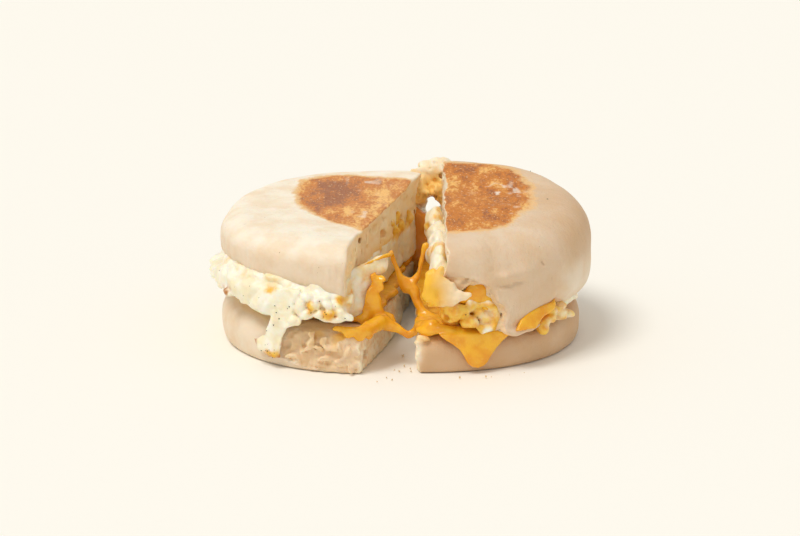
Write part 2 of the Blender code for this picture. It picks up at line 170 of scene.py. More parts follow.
def ellipsoid(p, middle, radii, turn):
    about_x, about_y, about_z = [Matrix.Rotation(math.radians(turn[i]), 3, "XYZ"[i]) for i in range(3)]
    q = (p - np.array(middle, np.float32)) @ np.array(about_z @ about_y @ about_x, np.float32)
    radii = np.array(radii, np.float32)
    near = np.sqrt(((q / radii) ** 2).sum(1)) + 1e-6
    slope = np.sqrt(((q / radii ** 2) ** 2).sum(1)) + 1e-6
    return near * (near - 1) / slope


def strand(p, points, radii, soft):
    """A tube of changing thickness along a line of points."""
    points = np.asarray(points, np.float32)
    best = None
    for start, end, wide, narrow in zip(points[:-1], points[1:], radii[:-1], radii[1:]):
        along = end - start
        share = np.clip(((p - start) @ along) / float(along @ along), 0, 1)
        gap = np.sqrt(((p - start - share[:, None] * along) ** 2).sum(1)) - mix(wide, narrow, share)
        best = gap if best is None else smooth_min(best, gap, soft)
    return best


def cord(p, rows):
    """A tube along a smooth curve. Each row has a point and the radius there."""
    steps = 4
    rows = np.array(rows)
    points = list(rows[:, :3].astype(np.float32))
    points = [2 * points[0] - points[1], *points, 2 * points[-1] - points[-2]]
    path = []
    for a, b, c, d in zip(points, points[1:], points[2:], points[3:]):
        for t in np.arange(steps, dtype=np.float32) / steps:
            path.append(0.5 * (2 * b + (c - a) * t + (2 * a - 5 * b + 4 * c - d) * t ** 2
                               + (3 * b - a - 3 * c + d) * t ** 3))
    path.append(points[-2])
    return strand(p, path, np.interp(np.arange(len(path)) / steps, np.arange(len(rows)), rows[:, 3]), 0.5)


def slab(p, disc, low, high, shoulder, heel):
    """A round slab in distance-field form: a soft shoulder above and a tighter heel below."""
    radius, degrees, reach = polar(p, disc)
    part = radius / reach
    bottom, top = low(p, degrees, part), high(p, degrees, part)
    middle, half = 0.5 * (top + bottom), 0.5 * (top - bottom)
    above = fade(-1, 1, p[:, 2] - middle)
    power = mix(3, 2.5, above)
    spread = mix(heel, shoulder, above)
    side = np.clip((radius - reach + spread) / spread, 0, None) + 1e-4
    rise = np.abs(p[:, 2] - middle) / half + 1e-4
    size = (side ** power + rise ** power) ** (1 / power)
    slope = np.hypot((side / size) ** (power - 1) / spread, (rise / size) ** (power - 1) / half)
    return (size - 1) / slope


def lip(keys, start, stop, tear=(0, 0)):
    """Underside that drops, or rises, to the lip at the rim, which is ragged between the tear's angles."""
    def height(p, degrees, part):
        torn = fade(tear[0], tear[0] + 4, degrees) * fade(tear[1] + 3, tear[1], degrees)
        ragged = 1.6 * noise(p, 3.2, 101) + 0.8 * noise(p, 1.4, 102)
        edge = np.interp(degrees + torn * ragged, *keys)
        return mix(UNDERSIDE, edge, fade(start, stop, part)).astype(np.float32)
    return height


def crown(height, sag, tilt=0, lift=0):
    """Top or floor of a slab: falling gently towards the rim, tilted, and lifted at the back."""
    return lambda p, degrees, part: (height - sag * np.minimum(part, 1.2) ** 6
                                     + tilt * part * np.sin(np.radians(degrees))
                                     + lift * fade(5, 48, p[:, 1]))


def polygon(u, v, corners):
    """Distance to a closed outline of corners, negative inside."""
    best = np.full(len(u), 1e9, np.float32)
    inside = np.zeros(len(u), bool)
    for (ax, ay), (bx, by) in zip(corners, corners[1:] + corners[:1]):
        ex, ey = bx - ax, by - ay
        share = np.clip(((u - ax) * ex + (v - ay) * ey) / (ex * ex + ey * ey), 0, 1)
        best = np.minimum(best, (u - ax - share * ex) ** 2 + (v - ay - share * ey) ** 2)
        crosses = (ay > v) != (by > v)
        inside ^= crosses & (u < ax + (v - ay) * ex / (ey if ey else 1e-9))
    gap = np.sqrt(best)
    return np.where(inside, -gap, gap)


def sheet(p, depth, corners, thick, soft):
    """A sheet whose outline is drawn in x and z, round a surface at depth zero."""
    return smooth_max(polygon(p[:, 0], p[:, 2], corners), np.abs(depth) - thick, soft)


def corners_of(values):
    """Views of an array from the eight corners of its cells."""
    return [values[tuple(slice(side, side - 1 or None) for side in step)] for step in np.ndindex(2, 2, 2)]


def surface(field, low, high, cell, reach):
    """Points and quads where the field is zero. The field is worked out finely only near there."""
    block = 4
    low = np.asarray(low, np.float32)
    blocks = np.ceil((np.asarray(high) - low) / (cell * block)).astype(int)
    grid = np.indices(blocks + 1).reshape(3, -1).T.astype(np.float32)
    coarse = field(low + grid * cell * block).reshape(blocks + 1)
    near = np.min(np.abs(corners_of(coarse)), axis=0) < reach + cell * block
    values = np.where(coarse[:-1, :-1, :-1] < 0, -1e3, 1e3).astype(np.float32)
    for axis in range(3):
        values = np.repeat(values, block, axis)
        near = np.repeat(near, block, axis)
    spots = np.argwhere(near)
    for start in range(0, len(spots), CHUNK):
        chunk = spots[start:start + CHUNK]
        values[tuple(chunk.T)] = field(low + chunk.astype(np.float32) * cell)
    return quads_between(values, low, cell)


def quads_between(values, low, cell):
    """Surface nets: one point in each cell that the surface crosses, joined by quads."""
    inside = values < 0
    shape = np.array(values.shape) - 1
    count = sum(corner.astype(np.uint8) for corner in corners_of(inside))
    cells = np.argwhere((count > 0) & (count < 8))
    total = np.zeros((len(cells), 3), np.float32)
    crossings = np.zeros(len(cells), np.float32)
    for axis in range(3):
        for corner in np.ndindex(2, 2):
            start, end = np.insert(corner, axis, 0), np.insert(corner, axis, 1)
            a = values[tuple((cells + start).T)]
            b = values[tuple((cells + end).T)]
            crossed = (a < 0) != (b < 0)
            place = np.repeat(start[None].astype(np.float32), len(cells), 0)
            place[:, axis] = np.where(crossed, a / np.where(crossed, a - b, 1), 0)
            total += place * crossed[:, None]
            crossings += crossed
    points = low + (cells + total / crossings[:, None]) * cell
    number = np.full(shape, -1, np.int32)
    number[tuple(cells.T)] = np.arange(len(cells))
    steps = np.eye(3, dtype=int)
    quads = []
    for axis in range(3):
        across = [(axis + 1) % 3, (axis + 2) % 3]
        first, second = steps[across]
        edges = np.argwhere(np.diff(inside, axis=axis))
        edges = edges[np.all((edges[:, across] > 0) & (edges[:, across] < shape[across]), axis=1)]
        ring = (edges, edges - first, edges - first - second, edges - second)
        faces = np.stack([number[tuple(corner.T)] for corner in ring], 1)
        inward = ~inside[tuple(edges.T)]
        faces[inward] = faces[inward][:, ::-1]
        quads.append(faces)
    return points.astype(np.float32), np.concatenate(quads)


def links_of(quads):
    return np.concatenate([quads[:, [i, (i + 1) % 4]] for i in range(4)])


def relax(points, quads):
    """Even out the points' places, twice, without changing the form."""
    links = links_of(quads)
    count = np.bincount(links.ravel(), minlength=len(points))
    for _ in range(2):
        average = np.empty_like(points)
        for axis in range(3):
            sums = np.bincount(links[:, 0], points[links[:, 1], axis], len(points))
            sums += np.bincount(links[:, 1], points[links[:, 0], axis], len(points))
            average[:, axis] = sums / np.maximum(count, 1)
        points = mix(points, average, 0.5)
    return points


def largest(points, quads):
    """Drop loose crumbs of surface, keeping the main body."""
    label = np.arange(len(points))
    links = links_of(quads)
    while True:
        before = label.copy()
        lowest = np.minimum(label[links[:, 0]], label[links[:, 1]])
        np.minimum.at(label, links[:, 0], lowest)
        np.minimum.at(label, links[:, 1], lowest)
        label = label[label]
        if np.array_equal(before, label):
            break
    keep = label == np.bincount(label).argmax()
    renumber = np.cumsum(keep) - 1
    return points[keep], renumber[quads[keep[quads[:, 0]]]]


def build_mesh(name, points, faces):
    mesh = bpy.data.meshes.new(name)
    mesh.from_pydata(((points + TO_ORIGIN) * MM).astype(np.float32), [], faces)
    mesh.validate()
    mesh.shade_smooth()
    return mesh


def add_object(name, data):
    obj = bpy.data.objects.new(name, data)
    bpy.context.scene.collection.objects.link(obj)
    return obj


def add_piece(name, mesh, look, *nodes):
    material, slot = look
    obj = add_object(name, mesh)
    mesh.materials.append(material)
    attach(obj, "root")
    if nodes:
        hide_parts(*nodes)
    return obj


def deep(disc, side, cut, top):
    """A test for points deep in a round: 5 mm from its rim, 3.5 mm from its cut and below a height."""
    def test(p):
        clear = side * (cut_line(cut, p) - p[:, 0])
        return (rim(p, disc) < -5) & (clear > 3.5) & (p[:, 2] < top)
    return test


def thin_out(obj, hidden):
    """Keep only a share of the faces where the points are hidden."""
    group = obj.vertex_groups.new(name="hidden")
    group.add(np.flatnonzero(hidden).tolist(), 1, "REPLACE")
    modifier = obj.modifiers.new("thin", "DECIMATE")
    modifier.ratio = 1 - (1 - BURIED_SHARE) * float(hidden.mean())
    modifier.vertex_group = "hidden"
    finished = obj.evaluated_get(bpy.context.evaluated_depsgraph_get())
    mesh = bpy.data.meshes.new_from_object(finished)
    obj.modifiers.clear()
    obj.vertex_groups.clear()
    obj.data = mesh
    mesh.shade_smooth()


def form(name, field, masks, low, high, look, node, buried=None, cell=BREAD_CELL, reach=0.8):
    """Mesh a field, colour its points by the masks and add it as a piece."""
    points, quads = largest(*surface(field, low, high, cell, reach))
    points = relax(points, quads)
    mesh = build_mesh(name, points, quads)
    for mask, values in masks(points).items():
        layer = mesh.attributes.new(mask, "FLOAT", "POINT")
        layer.data.foreach_set("value", np.clip(values, 0, 1).astype(np.float32))
    obj = add_piece(name, mesh, look, node)
    if buried:
        thin_out(obj, buried(points))


def crumb_face(f, p, face, skin, seed):
    """Open the torn or cut bread behind a face with holes of several sizes, clear of the skin."""
    depth = 2.4
    near = np.abs(face) < depth + 1.5
    if not near.any():
        return f
    q = p[near]
    coarse = bubbles(q, 5.6, seed, -0.25, 0.5, (1, 1.4, 0.7))
    holes = np.minimum(coarse, bubbles(q, 2.4, seed + 1, -0.2, 0.5))
    holes = np.maximum.reduce([holes, -face[near] - depth, skin[near] + 1.3])
    f = f.copy()
    f[near] = smooth_max(f[near], -holes, 0.4)
    return f


def gather(f, p, lumps, soft):
    """Join ellipsoids to a form. A row has a middle, three radii, and turns about Y and Z if any."""
    for row in lumps:
        tilt, turn = (*row[6:], 0, 0)[:2]
        f = smooth_min(f, ellipsoid(p, row[:3], row[3:6], (0, tilt, turn)), soft)
    return f


def tear_off(f, p, disc, torn, soft):
    """Take crumb off the rim to the torn depth, and raise the skin where that is below nothing."""
    return smooth_max(f + np.minimum(torn, 0), np.where(torn > 0.05, rim(p, disc) + torn, -9), soft)


def left_top_skin(p):
    shape = slab(p, LEFT, lip(LEFT_LIP, 0.78, 0.93), crown(LEFT_CROWN, 1.2, 0, 1.7), 12, 3)
    wrinkles = np.abs(noise(swirl(p, 0.8, 6, 118), (2.2, 2.2, 12), 104)) * fade(40, 35, p[:, 2])
    return shape - 0.45 * noise(p, 15, 3) - 0.15 * noise(p, 5, 4) - 0.55 * wrinkles


def left_top_cut(p):
    cut = 0.97 * (p[:, 0] - cut_line(LEFT_TOP_CUT, p))
    return cut + 0.6 * noise(p, (4.5, 11, 4), 5) + 0.5 * noise(p, (2, 4.5, 1.8), 6)


def left_top(p):
    cut, skin = left_top_cut(p), left_top_skin(p)
    return crumb_face(smooth_max(skin, cut, 0.6), p, cut, skin, 41)


def right_top_skin(p):
    radius, degrees, reach = polar(p, RIGHT_TOP)
    shape = slab(p, RIGHT_TOP, lip(RIGHT_LIP, 0.76, 0.9, (-84, -66)),
                 crown(RIGHT_CROWN, 2, RIGHT_TILT * RIGHT_TOP.radius, 1.8), 13.3,
                 np.interp(degrees, (-62, -46, -30), (2.6, 4, 9)))
    shape = shape - 0.5 * noise(p, 16, 7) - 0.15 * noise(p, 5, 8)
    bump = spot(p, (35, -50, 33.2), (2.4, 4, 1.3))
    fold = spot(p, (41, -46.5, 34), (4.5, 4, 2.4))
    crease = np.maximum(spot(p, (34.6, -50, 29.6), (3, 5, 0.7)),
                        spot(p, (38.6, -48, 30.2), (2.4, 5, 0.7)))
    groove = scratches(swirl(p, 0.5, 2, 110), RIGHT_CRACKS, 0.9)
    return shape - 2 * bump - fold + 1.1 * crease + 0.35 * groove


def right_top_cut(p):
    cut = cut_line(RIGHT_TOP_CUT, p) - p[:, 0]
    return cut + 0.8 * noise(p, (4.5, 9, 4), 9) + 0.6 * noise(p, (2, 3.6, 1.8), 10)


def pits(p):
    """Uneven hollows of torn crumb, in millimetres deep."""
    q = swirl(p, 0.8, 3, 120)
    return 1.7 * np.abs(noise(q, (2.6, 2.6, 2), 23)) + 0.9 * np.abs(noise(q, 1.2, 24))


def right_top_tear(p):
    """How deep the skin is torn away beside the notch, in millimetres."""
    radius, degrees, reach = polar(p, RIGHT_TOP)
    ragged = 1.1 * noise(p, 2.8, 105) + 0.6 * noise(p, 1.3, 106)
    beside = np.interp(p[:, 2], *SKIN_EDGE) - degrees + ragged
    here = fade(34, 32.8, p[:, 2]) * fade(18, 14, beside)
    raised = np.exp(-((beside + 0.9) / 0.8) ** 2)
    torn = 0.8 + 0.24 * np.clip(beside, 0, 6) + 1.5 * pits(p)
    return here * (fade(-0.2, 0.3, beside) * torn - 0.45 * raised)


# Rolled lower edge of the skin, and crumb that hangs in the corner of the notch.
ROLL = ((34.8, -48.8, 14.2, 1.1), (37.6, -47.9, 13.4, 1.2), (42, -45.4, 13.4, 0.8), (46, -42.8, 14.4, 0.6))
NOTCH_BITS = (
    (15.4, -50.6, 33.4, 2.4, 2.6, 2, 10), (18.6, -50.8, 32, 2.2, 2.4, 2.2, 30),
    (20.6, -50.4, 30.6, 1.6, 2.2, 2.2), (22.6, -50.8, 32.4, 1.8, 2.2, 1.4, -20),
)


def right_top(p):
    cut, skin = right_top_cut(p), right_top_skin(p)
    f = crumb_face(smooth_max(skin, cut, 0.6), p, cut, skin, 43)
    f = tear_off(f, p, RIGHT_TOP, right_top_tear(p), 0.2)
    f = smooth_min(f, cord(p, ROLL) + 0.3 * noise(p, 2.4, 107), 1.4)
    return gather(f, swirl(p, 0.9, 1.9, 130), NOTCH_BITS, 0.5)


FLAP = ((8.4, 34.4), (10.6, 35.8), (12.8, 34.2), (14.8, 33.2), (16.9, 31.9), (18.6, 29.8), (20.6, 28.8),
        (23.4, 28.2), (21.8, 26.8), (19.3, 25.4), (17.4, 24.2), (14.3, 23.6), (11.2, 23.6), (9, 24.2),
        (8.7, 27.6), (8.6, 31.4))
STREAK = ((9.6, -54.6, 34.6, 0.8), (9.2, -55.6, 31, 1.2), (9.6, -55.8, 27, 1.4), (12, -55.6, 24.6, 1))
FLAP_BITS = ((13.4, -54.6, 36, 1.5, 1.3, 1.7, 30),)


def torn_flap(p):
    """Fold torn loose at the front corner of the right half, soaked with cheese."""
    q = swirl(p, 1, 4.6, 13)
    sag = 1.1 * noise(p, (5, 6, 4), 11) + 0.35 * noise(p, 2.2, 12)
    depth = rim(p, RIGHT_TOP) - 0.8 - sag + 1.6 * fade(27, 23, p[:, 2])
    thick = 1.2 + 0.5 * noise(p, 4, 116)
    outline = polygon(q[:, 0], q[:, 2], FLAP) - 0.7 + 0.5 * noise(p, 1.6, 117)
    f = smooth_min(smooth_max(outline, np.abs(depth) - thick, 1.3), cord(q, STREAK), 1.6)
    return gather(f, swirl(p, 0.6, 1.8, 126), FLAP_BITS, 0.4)


HINGE = ((-1, 45, 37, 3), (6, 49, 41, 4.8), (12, 50, 43.6, 5), (15.4, 49.6, 44.4, 4.8), (20, 47, 41.6, 3.6))
HINGE_ENDS = ((5, 46, 37, 5, 5, 4, -30), (16.4, 46, 34.5, 2.2, 4, 4.6))
HINGE_MIDDLE = ((10.6, 47, 38.8, 5.2, 4.2, 2.6, -6),)
HINGE_SHREDS = ((13.8, 47, 35.6, 1.6, 3, 2), (8, 47, 35, 1.4, 3, 2.4, 20))


def hinge(p):
    """Crumb that still joins the top halves at the back."""
    q = swirl(p, 1.1, 4, 14)
    f = gather(cord(q, HINGE), q, HINGE_ENDS, 2)
    f = gather(gather(f, q, HINGE_MIDDLE, 1.5), q, HINGE_SHREDS, 1)
    f = f - 0.8 * noise(p, 2.6, 17) - 0.3 * noise(p, 1.3, 119)
    holes = np.minimum(bubbles(p, 4.4, 45, -0.1, 0.5, (0.9, 1.2, 1)), bubbles(p, 2, 46, -0.1, 0.5))
    return smooth_max(f, -np.maximum(holes, -f - 2.2), 0.5)


def left_base_cut(p):
    cut = 0.97 * (p[:, 0] - cut_line(LEFT_BASE_CUT, p))
    return cut + 0.6 * noise(p, 4.5, 18) + 0.5 * noise(p, 1.8, 19)


BASE_HOLLOWS = ((2.4, -26.5, -51, 14, 7.5, 7, 3), (1, -34, -47, 9, 4, 5, 4))


def left_base_tear(p):
    """How deep the skin is torn away at the front corner of the left base, in millimetres."""
    radius, degrees, reach = polar(p, LEFT)
    edge = degrees - np.interp(p[:, 2], *TEAR_EDGE) + 1.4 * noise(p, 3.4, 20) + 0.7 * noise(p, 1.5, 21)
    torn = fade(-0.4, 0.8, edge) * (degrees < -60)
    raised = np.exp(-((edge + 1.4) / 1.1) ** 2) * (degrees < -60)
    hollow = spots(p, BASE_HOLLOWS)
    rough = 0.9 * noise(p, (4, 4, 2.4), 22) + pits(p)
    return torn * (0.7 + hollow + rough) - 0.45 * raised


# Shreds of crumb that stand out of the torn corner.
SHREDS = (
    (-29.6, -49.6, 11.2, 0.9, 1.6, 3.4, 10), (-27, -50.2, 8.4, 2.2, 1.5, 0.8, 24),
    (-22.6, -51.2, 9, 3, 1.7, 1.3, 18), (-24.6, -50.8, 5.4, 2.6, 1.5, 0.9, -20),
    (-17.6, -52.6, 7.2, 0.9, 1.6, 2.8, 16), (-16.2, -53, 2.2, 0.8, 1.5, 2, -34),
    (-35.4, -46, 4.6, 3, 1.3, 0.8, 8), (-20, -52.4, 4, 1.6, 1.4, 0.7, 30),
    (-19.8, -52.2, 9.6, 0.7, 1.5, 1.8, -20), (-31.6, -48.4, 7.4, 1.6, 1.4, 0.8, -30),
    (-25.4, -50.8, 11.6, 0.8, 1.5, 1.8, 30),
)


def left_base(p):
    skin = slab(p, LEFT, crown(0, 0), crown(LEFT_BASE_TOP, 1.2), 5.6, 3.2) - 0.3 * noise(p, 14, 23)
    skin, cut = np.maximum(skin, -p[:, 2]), left_base_cut(p)
    f = crumb_face(smooth_max(skin, cut, 0.7), p, cut, skin, 47)
    f = tear_off(f, p, LEFT, left_base_tear(p), 0.3)
    return np.maximum(gather(f, swirl(p, 1, 1.9, 27), SHREDS, 0.8), -p[:, 2])


def right_base_cut(p):
    cut = cut_line(RIGHT_BASE_CUT, p) - p[:, 0]
    return cut + 0.6 * noise(p, 4.5, 24) + 0.5 * noise(p, 1.8, 25)


# Ragged crumb along the front edge of the right base.
EDGE_SHREDS = (
    (6.3, -50.6, 10.6, 1.3, 1.6, 1.5), (6, -50.8, 7.6, 0.9, 1.5, 1.7),
    (7.8, -50.4, 12.4, 2.2, 1.5, 0.9, 20), (5.9, -50.9, 4.6, 0.7, 1.3, 1.3),
    (12.4, -51, 13.6, 2, 1.4, 0.9, -20),
)


def right_base(p):
    skin = slab(p, RIGHT_BASE, crown(0, 0), crown(RIGHT_BASE_TOP, 1.2), 5.5, 2.6) - 0.3 * noise(p, 14, 26)
    skin, cut = np.maximum(skin, -p[:, 2]), right_base_cut(p)
    f = crumb_face(smooth_max(skin, cut, 0.7), p, cut, skin, 51)
    return np.maximum(gather(f, swirl(p, 0.8, 1.7, 27), EDGE_SHREDS, 0.6), -p[:, 2])


LEFT_EGG_PROUD = ((-205, -190, -176, -160, -148, -136, -126, -115, -104, -96, 80, 120, 155),
                  (1.2, 2.2, 3.2, 3.4, 3.2, 2.8, 1.8, 1, -0.5, -2, 0.6, 1, 1.2))
LEFT_EGG_LOW = ((-205, -190, -176, -162, -152, -146, -135, -128, -118, -104, 80, 150),
                (19, 18.6, 19.4, 21.2, 20.6, 19.8, 18.6, 17.6, 19.5, 19.5, 19, 19))
RIGHT_EGG_PROUD = ((-95, -80, -66, -58, -50, -44, -38, -30, 0, 60, 95),
                   (-3, -3, -3.8, -4.6, -4.6, -4, -1.4, 0, 0.2, 0.2, 0))
RIGHT_EGG_LOW = ((-95, -78, -60, -40, -20, 0, 90), (17, 15.8, 15, 14.6, 14.8, 15.2, 15.6))


def egg_band(p, disc, proud_keys, low_keys, high, seed, cut):
    """Egg that fills the bread and bulges past its rim in folds."""
    z = p[:, 2]
    radius, degrees, reach = polar(p, disc)
    spread = np.where(degrees > 155, degrees - 360, degrees)
    around = np.radians(spread) * disc.radius
    zero = np.zeros(len(p))
    place = np.stack([around, z, zero], 1).astype(np.float32)
    along = np.stack([around, zero, zero], 1).astype(np.float32)
    proud = np.interp(spread, *proud_keys)
    bent = place + 3 * noise(place, 9, seed + 7)[:, None]
    folds = 1.2 * noise(bent, (10, 4.4, 9), seed)
    folds = folds + 2.2 * np.abs(noise(bent, (8.5, 4.4, 9), seed + 1)) - 0.7
    folds += 0.8 * np.abs(noise(bent, (3.2, 2.4, 9), seed + 4)) - 0.2
    side = fade(-156, -170, spread) * fade(-215, -195, spread)
    tuck = mix(2.2, 7, side) * fade(mix(26.5, 24.5, side), mix(31, 29.5, side), z)
    rim_gap = radius - reach - proud - folds + tuck
    ruffle = 1.1 * noise(along, 5, seed + 2) + 0.6 * noise(along, 2.2, seed + 3)
    inner = fade(-12, -3, radius - reach)
    low = mix(17.6, np.interp(spread, *low_keys) + ruffle, inner)
    band = smooth_max(rim_gap, smooth_max(low - z, z - high, 0.5), 2.2)
    return smooth_max(band, cut, 1.5)


STRIP = ((-41.4, 29), (-42.2, 20.6), (-43.2, 14.9), (-44.9, 11), (-48.3, 8.8), (-47.9, 5.4), (-44.1, 3.6),
         (-39.8, 4.1), (-39, 9), (-38.4, 11.5), (-36.2, 16.2), (-35, 21.8), (-32.5, 29))
FOLD = ((-17.2, 32.1), (-10.8, 34.8), (-3.4, 36.6), (-3.9, 33), (-5.5, 30.2), (-8.2, 29.6), (-9.6, 24),
        (-13, 16.2), (-17.5, 16.6))
LEFT_LUMPS = (
    (-32.6, -50.2, 23.4, 1.9, 2.8, 3.6, 8), (-30.2, -51, 26.2, 2.8, 2.4, 1.7, 20),
    (-28.4, -51.8, 23.8, 2.6, 2.6, 2), (-25.4, -51.8, 26, 3, 2.4, 1.6, -8),
    (-24, -53.4, 24, 2.3, 2, 1.5, 30), (-30.4, -51.6, 20.4, 3, 2.2, 1.9, -12),
    (-26.6, -53, 20.8, 1.9, 2, 1.5), (-23.4, -54, 21.2, 1.8, 1.9, 1.6), (-20.6, -52.4, 24, 2, 2.4, 2, 40),
    (-19.6, -53.4, 21.6, 1.7, 2, 2, 30), (-17.4, -53.2, 20, 2.5, 2, 1.3, 34),
    (-22.4, -53, 19.2, 4.4, 1.8, 1, 2), (-34.9, -49.6, 18.4, 2.2, 2.2, 1.7),
    (-57.4, -28.2, 21.4, 1.6, 2.6, 1.6, 0, 28),
)
CURL = ((-37.2, -48.9, 15.6, 0.6), (-35.6, -50, 17.2, 0.9), (-33.2, -50.9, 17.8, 0.9))
GROOVE = ((-33.6, -53.4, 29.6, 0.5), (-34.8, -53, 26, 0.9), (-35.4, -52.6, 22.4, 0.8))
# Scrambled bits that stick to the left cut face, seen through the gap.
INNER_BITS = (
    (-17.6, -47, 25.2, 2, 4, 2.4, 0, 16), (-3.2, 8.5, 36.6, 1.4, 3.2, 1.9, 0, 16),
    (-2.6, 12.5, 33, 1.8, 3.4, 2, 0, 16), (-1.2, 16, 36, 1.3, 2.6, 2.4, 0, 16),
    (-0.4, 20.5, 32.4, 1.6, 3.2, 2.2, 0, 16), (1.3, 25, 36, 1.5, 3, 2.6, 0, 16),
    (2.6, 30.5, 33, 1.7, 3.4, 2.8, 0, 16),
)


def egg_left(p):
    cut = 0.97 * (p[:, 0] - cut_line(LEFT_TOP_CUT, p)) - 0.5 + 0.9 * noise(p, 5, 60)
    f = egg_band(p, LEFT, LEFT_EGG_PROUD, LEFT_EGG_LOW, 31.6, 61, cut)
    q = swirl(p, 0.6, 4, 65)
    hang = rim(q, LEFT) - mix(1.7, 2.6, fade(8, 24, q[:, 2])) - 0.8 * noise(p, (2.6, 9, 9), 69)
    f = smooth_min(f, np.maximum(sheet(q, hang, STRIP, 0.85, 0.9), p[:, 1]), 0.6)
    f = smooth_min(f, cord(q, CURL), 0.4)
    f = gather(f, q, LEFT_LUMPS, 0.25)
    f = smooth_max(f, -cord(q, GROOVE), 0.5)
    front = (q[:, 1] + 42 - 0.66 * (q[:, 0] + 17)) * 0.83 + 0.8 * noise(p, (5, 9, 4), 67)
    f = smooth_min(f, sheet(q, front, FOLD, 1.5, 1.6), 0.8)
    f = gather(f, swirl(p, 0.8, 3.2, 121), INNER_BITS, 0.3)
    return f - 0.4 * np.abs(noise(p, 2.2, 68)) - 0.12 * noise(p, 1, 66) + 0.1


RIGHT_LUMPS = (
    (19.4, -51.6, 21.6, 3.6, 2.4, 2.9, 12), (16.2, -52, 23.2, 2.2, 2, 2),
    (22.6, -51.6, 18, 3.2, 2.2, 1.8, -12), (23.4, -50.4, 22.6, 2.4, 2.2, 2.2),
    (26.2, -49.8, 20.2, 1.7, 1.9, 1.5), (27.6, -48.4, 18.6, 2.8, 1.9, 3.2),
    (18.4, -52.2, 19.4, 2.6, 1.8, 1.2, -30), (11.6, -52.4, 17.6, 1.2, 1.2, 0.9, 20),
    (13.4, -52.8, 16.6, 1.1, 1.2, 0.8, -30), (14.8, -52.9, 15.4, 1, 1.1, 0.8, 20),
    (28.4, -49.8, 14.2, 1.2, 1.2, 0.8),
)
# Bits of egg that stick out under the right top, further round.
NUBS = (
    (47.6, -38.6, 12.6, 2.3, 2.4, 2.8, 24, 42), (49.6, -36.8, 15, 2.8, 2.8, 1.7, 0, 42),
    (53.4, -32, 14.8, 2.2, 2.8, 1.9, 0, 52), (55.8, -28.4, 14.4, 1.6, 2.8, 1.5, 0, 60),
    (53.6, -31.4, 17.8, 1.5, 2.4, 1.9, 0, 52), (50, -34, 17, 4, 4, 2, 0, 48),
)
RING_CURL = (
    (25, -50.2, 22.6, 0.9), (28, -49.6, 23.2, 1.5), (30.6, -48.6, 21.6, 1.7), (31.2, -48.2, 18.6, 1.5),
    (30.2, -49, 15.6, 1.3), (27.6, -50, 14.4, 1.5), (25.2, -50.8, 16.4, 1.1),
)


def egg_right(p):
    cut = 13.6 - p[:, 0] + 0.8 * noise(p, 5, 70)
    f = egg_band(p, RIGHT_BASE, RIGHT_EGG_PROUD, RIGHT_EGG_LOW, 31, 71, cut)
    q = swirl(p, 0.7, 3.6, 75)
    for index in range(6):
        x, z = 12.7 + 0.6 * math.sin(index * 2.3), 32.6 + 1.2 * math.sin(index * 1.7)
        middle, radii = (x, -43 + 11.5 * index, z), (3.4, 6.8, 5.6 + math.sin(index * 2.9))
        f = smooth_min(f, ellipsoid(q, middle, radii, (22 * math.sin(index * 3.1), 0, 0)), 0.4)
    rough = swirl(p, 1.1, 2.8, 122)
    f = gather(gather(f, rough, RIGHT_LUMPS, 0.3), q, NUBS, 0.4)
    f = smooth_min(f, cord(rough, RING_CURL), 0.3)
    return f - 0.45 * np.abs(noise(p, 2.2, 78)) - 0.12 * noise(p, 1, 79) + 0.12


DRIP_HALF_WIDTH = ((1.6, 2.4, 4.1, 6.2, 8.4, 10.4, 12.2, 13.6), (0.6, 2.4, 3.8, 4.7, 6, 8.4, 11.2, 13))
MELT = ((-9.4, 30.4), (-7.9, 31.4), (-7, 29.8), (-4.6, 30), (-4, 28.6), (-6.2, 27.4), (-5.4, 26),
        (-7.2, 24.4), (-6.2, 21.4), (-4.6, 18), (-2.4, 16.8), (-0.9, 15.2), (-1.6, 13.8), (-1.2, 12.4),
        (-4.2, 11.6), (-8.2, 12.4), (-13, 13.4), (-14.4, 15.6), (-12.8, 17.6), (-11.6, 20), (-12.2, 22.8),
        (-10.6, 26.8))
WEB = ((-3, 3), (-1, 31), (4, 34.6), (7, 32.2), (10, 30.6), (14.5, 30.6), (18, 33), (18, 3))
BAND = ((37.8, 13.8), (39.6, 17.2), (42.6, 19.4), (46.4, 20.8), (51.6, 21), (51.8, 19), (48.3, 17.4),
        (44.4, 13.8))
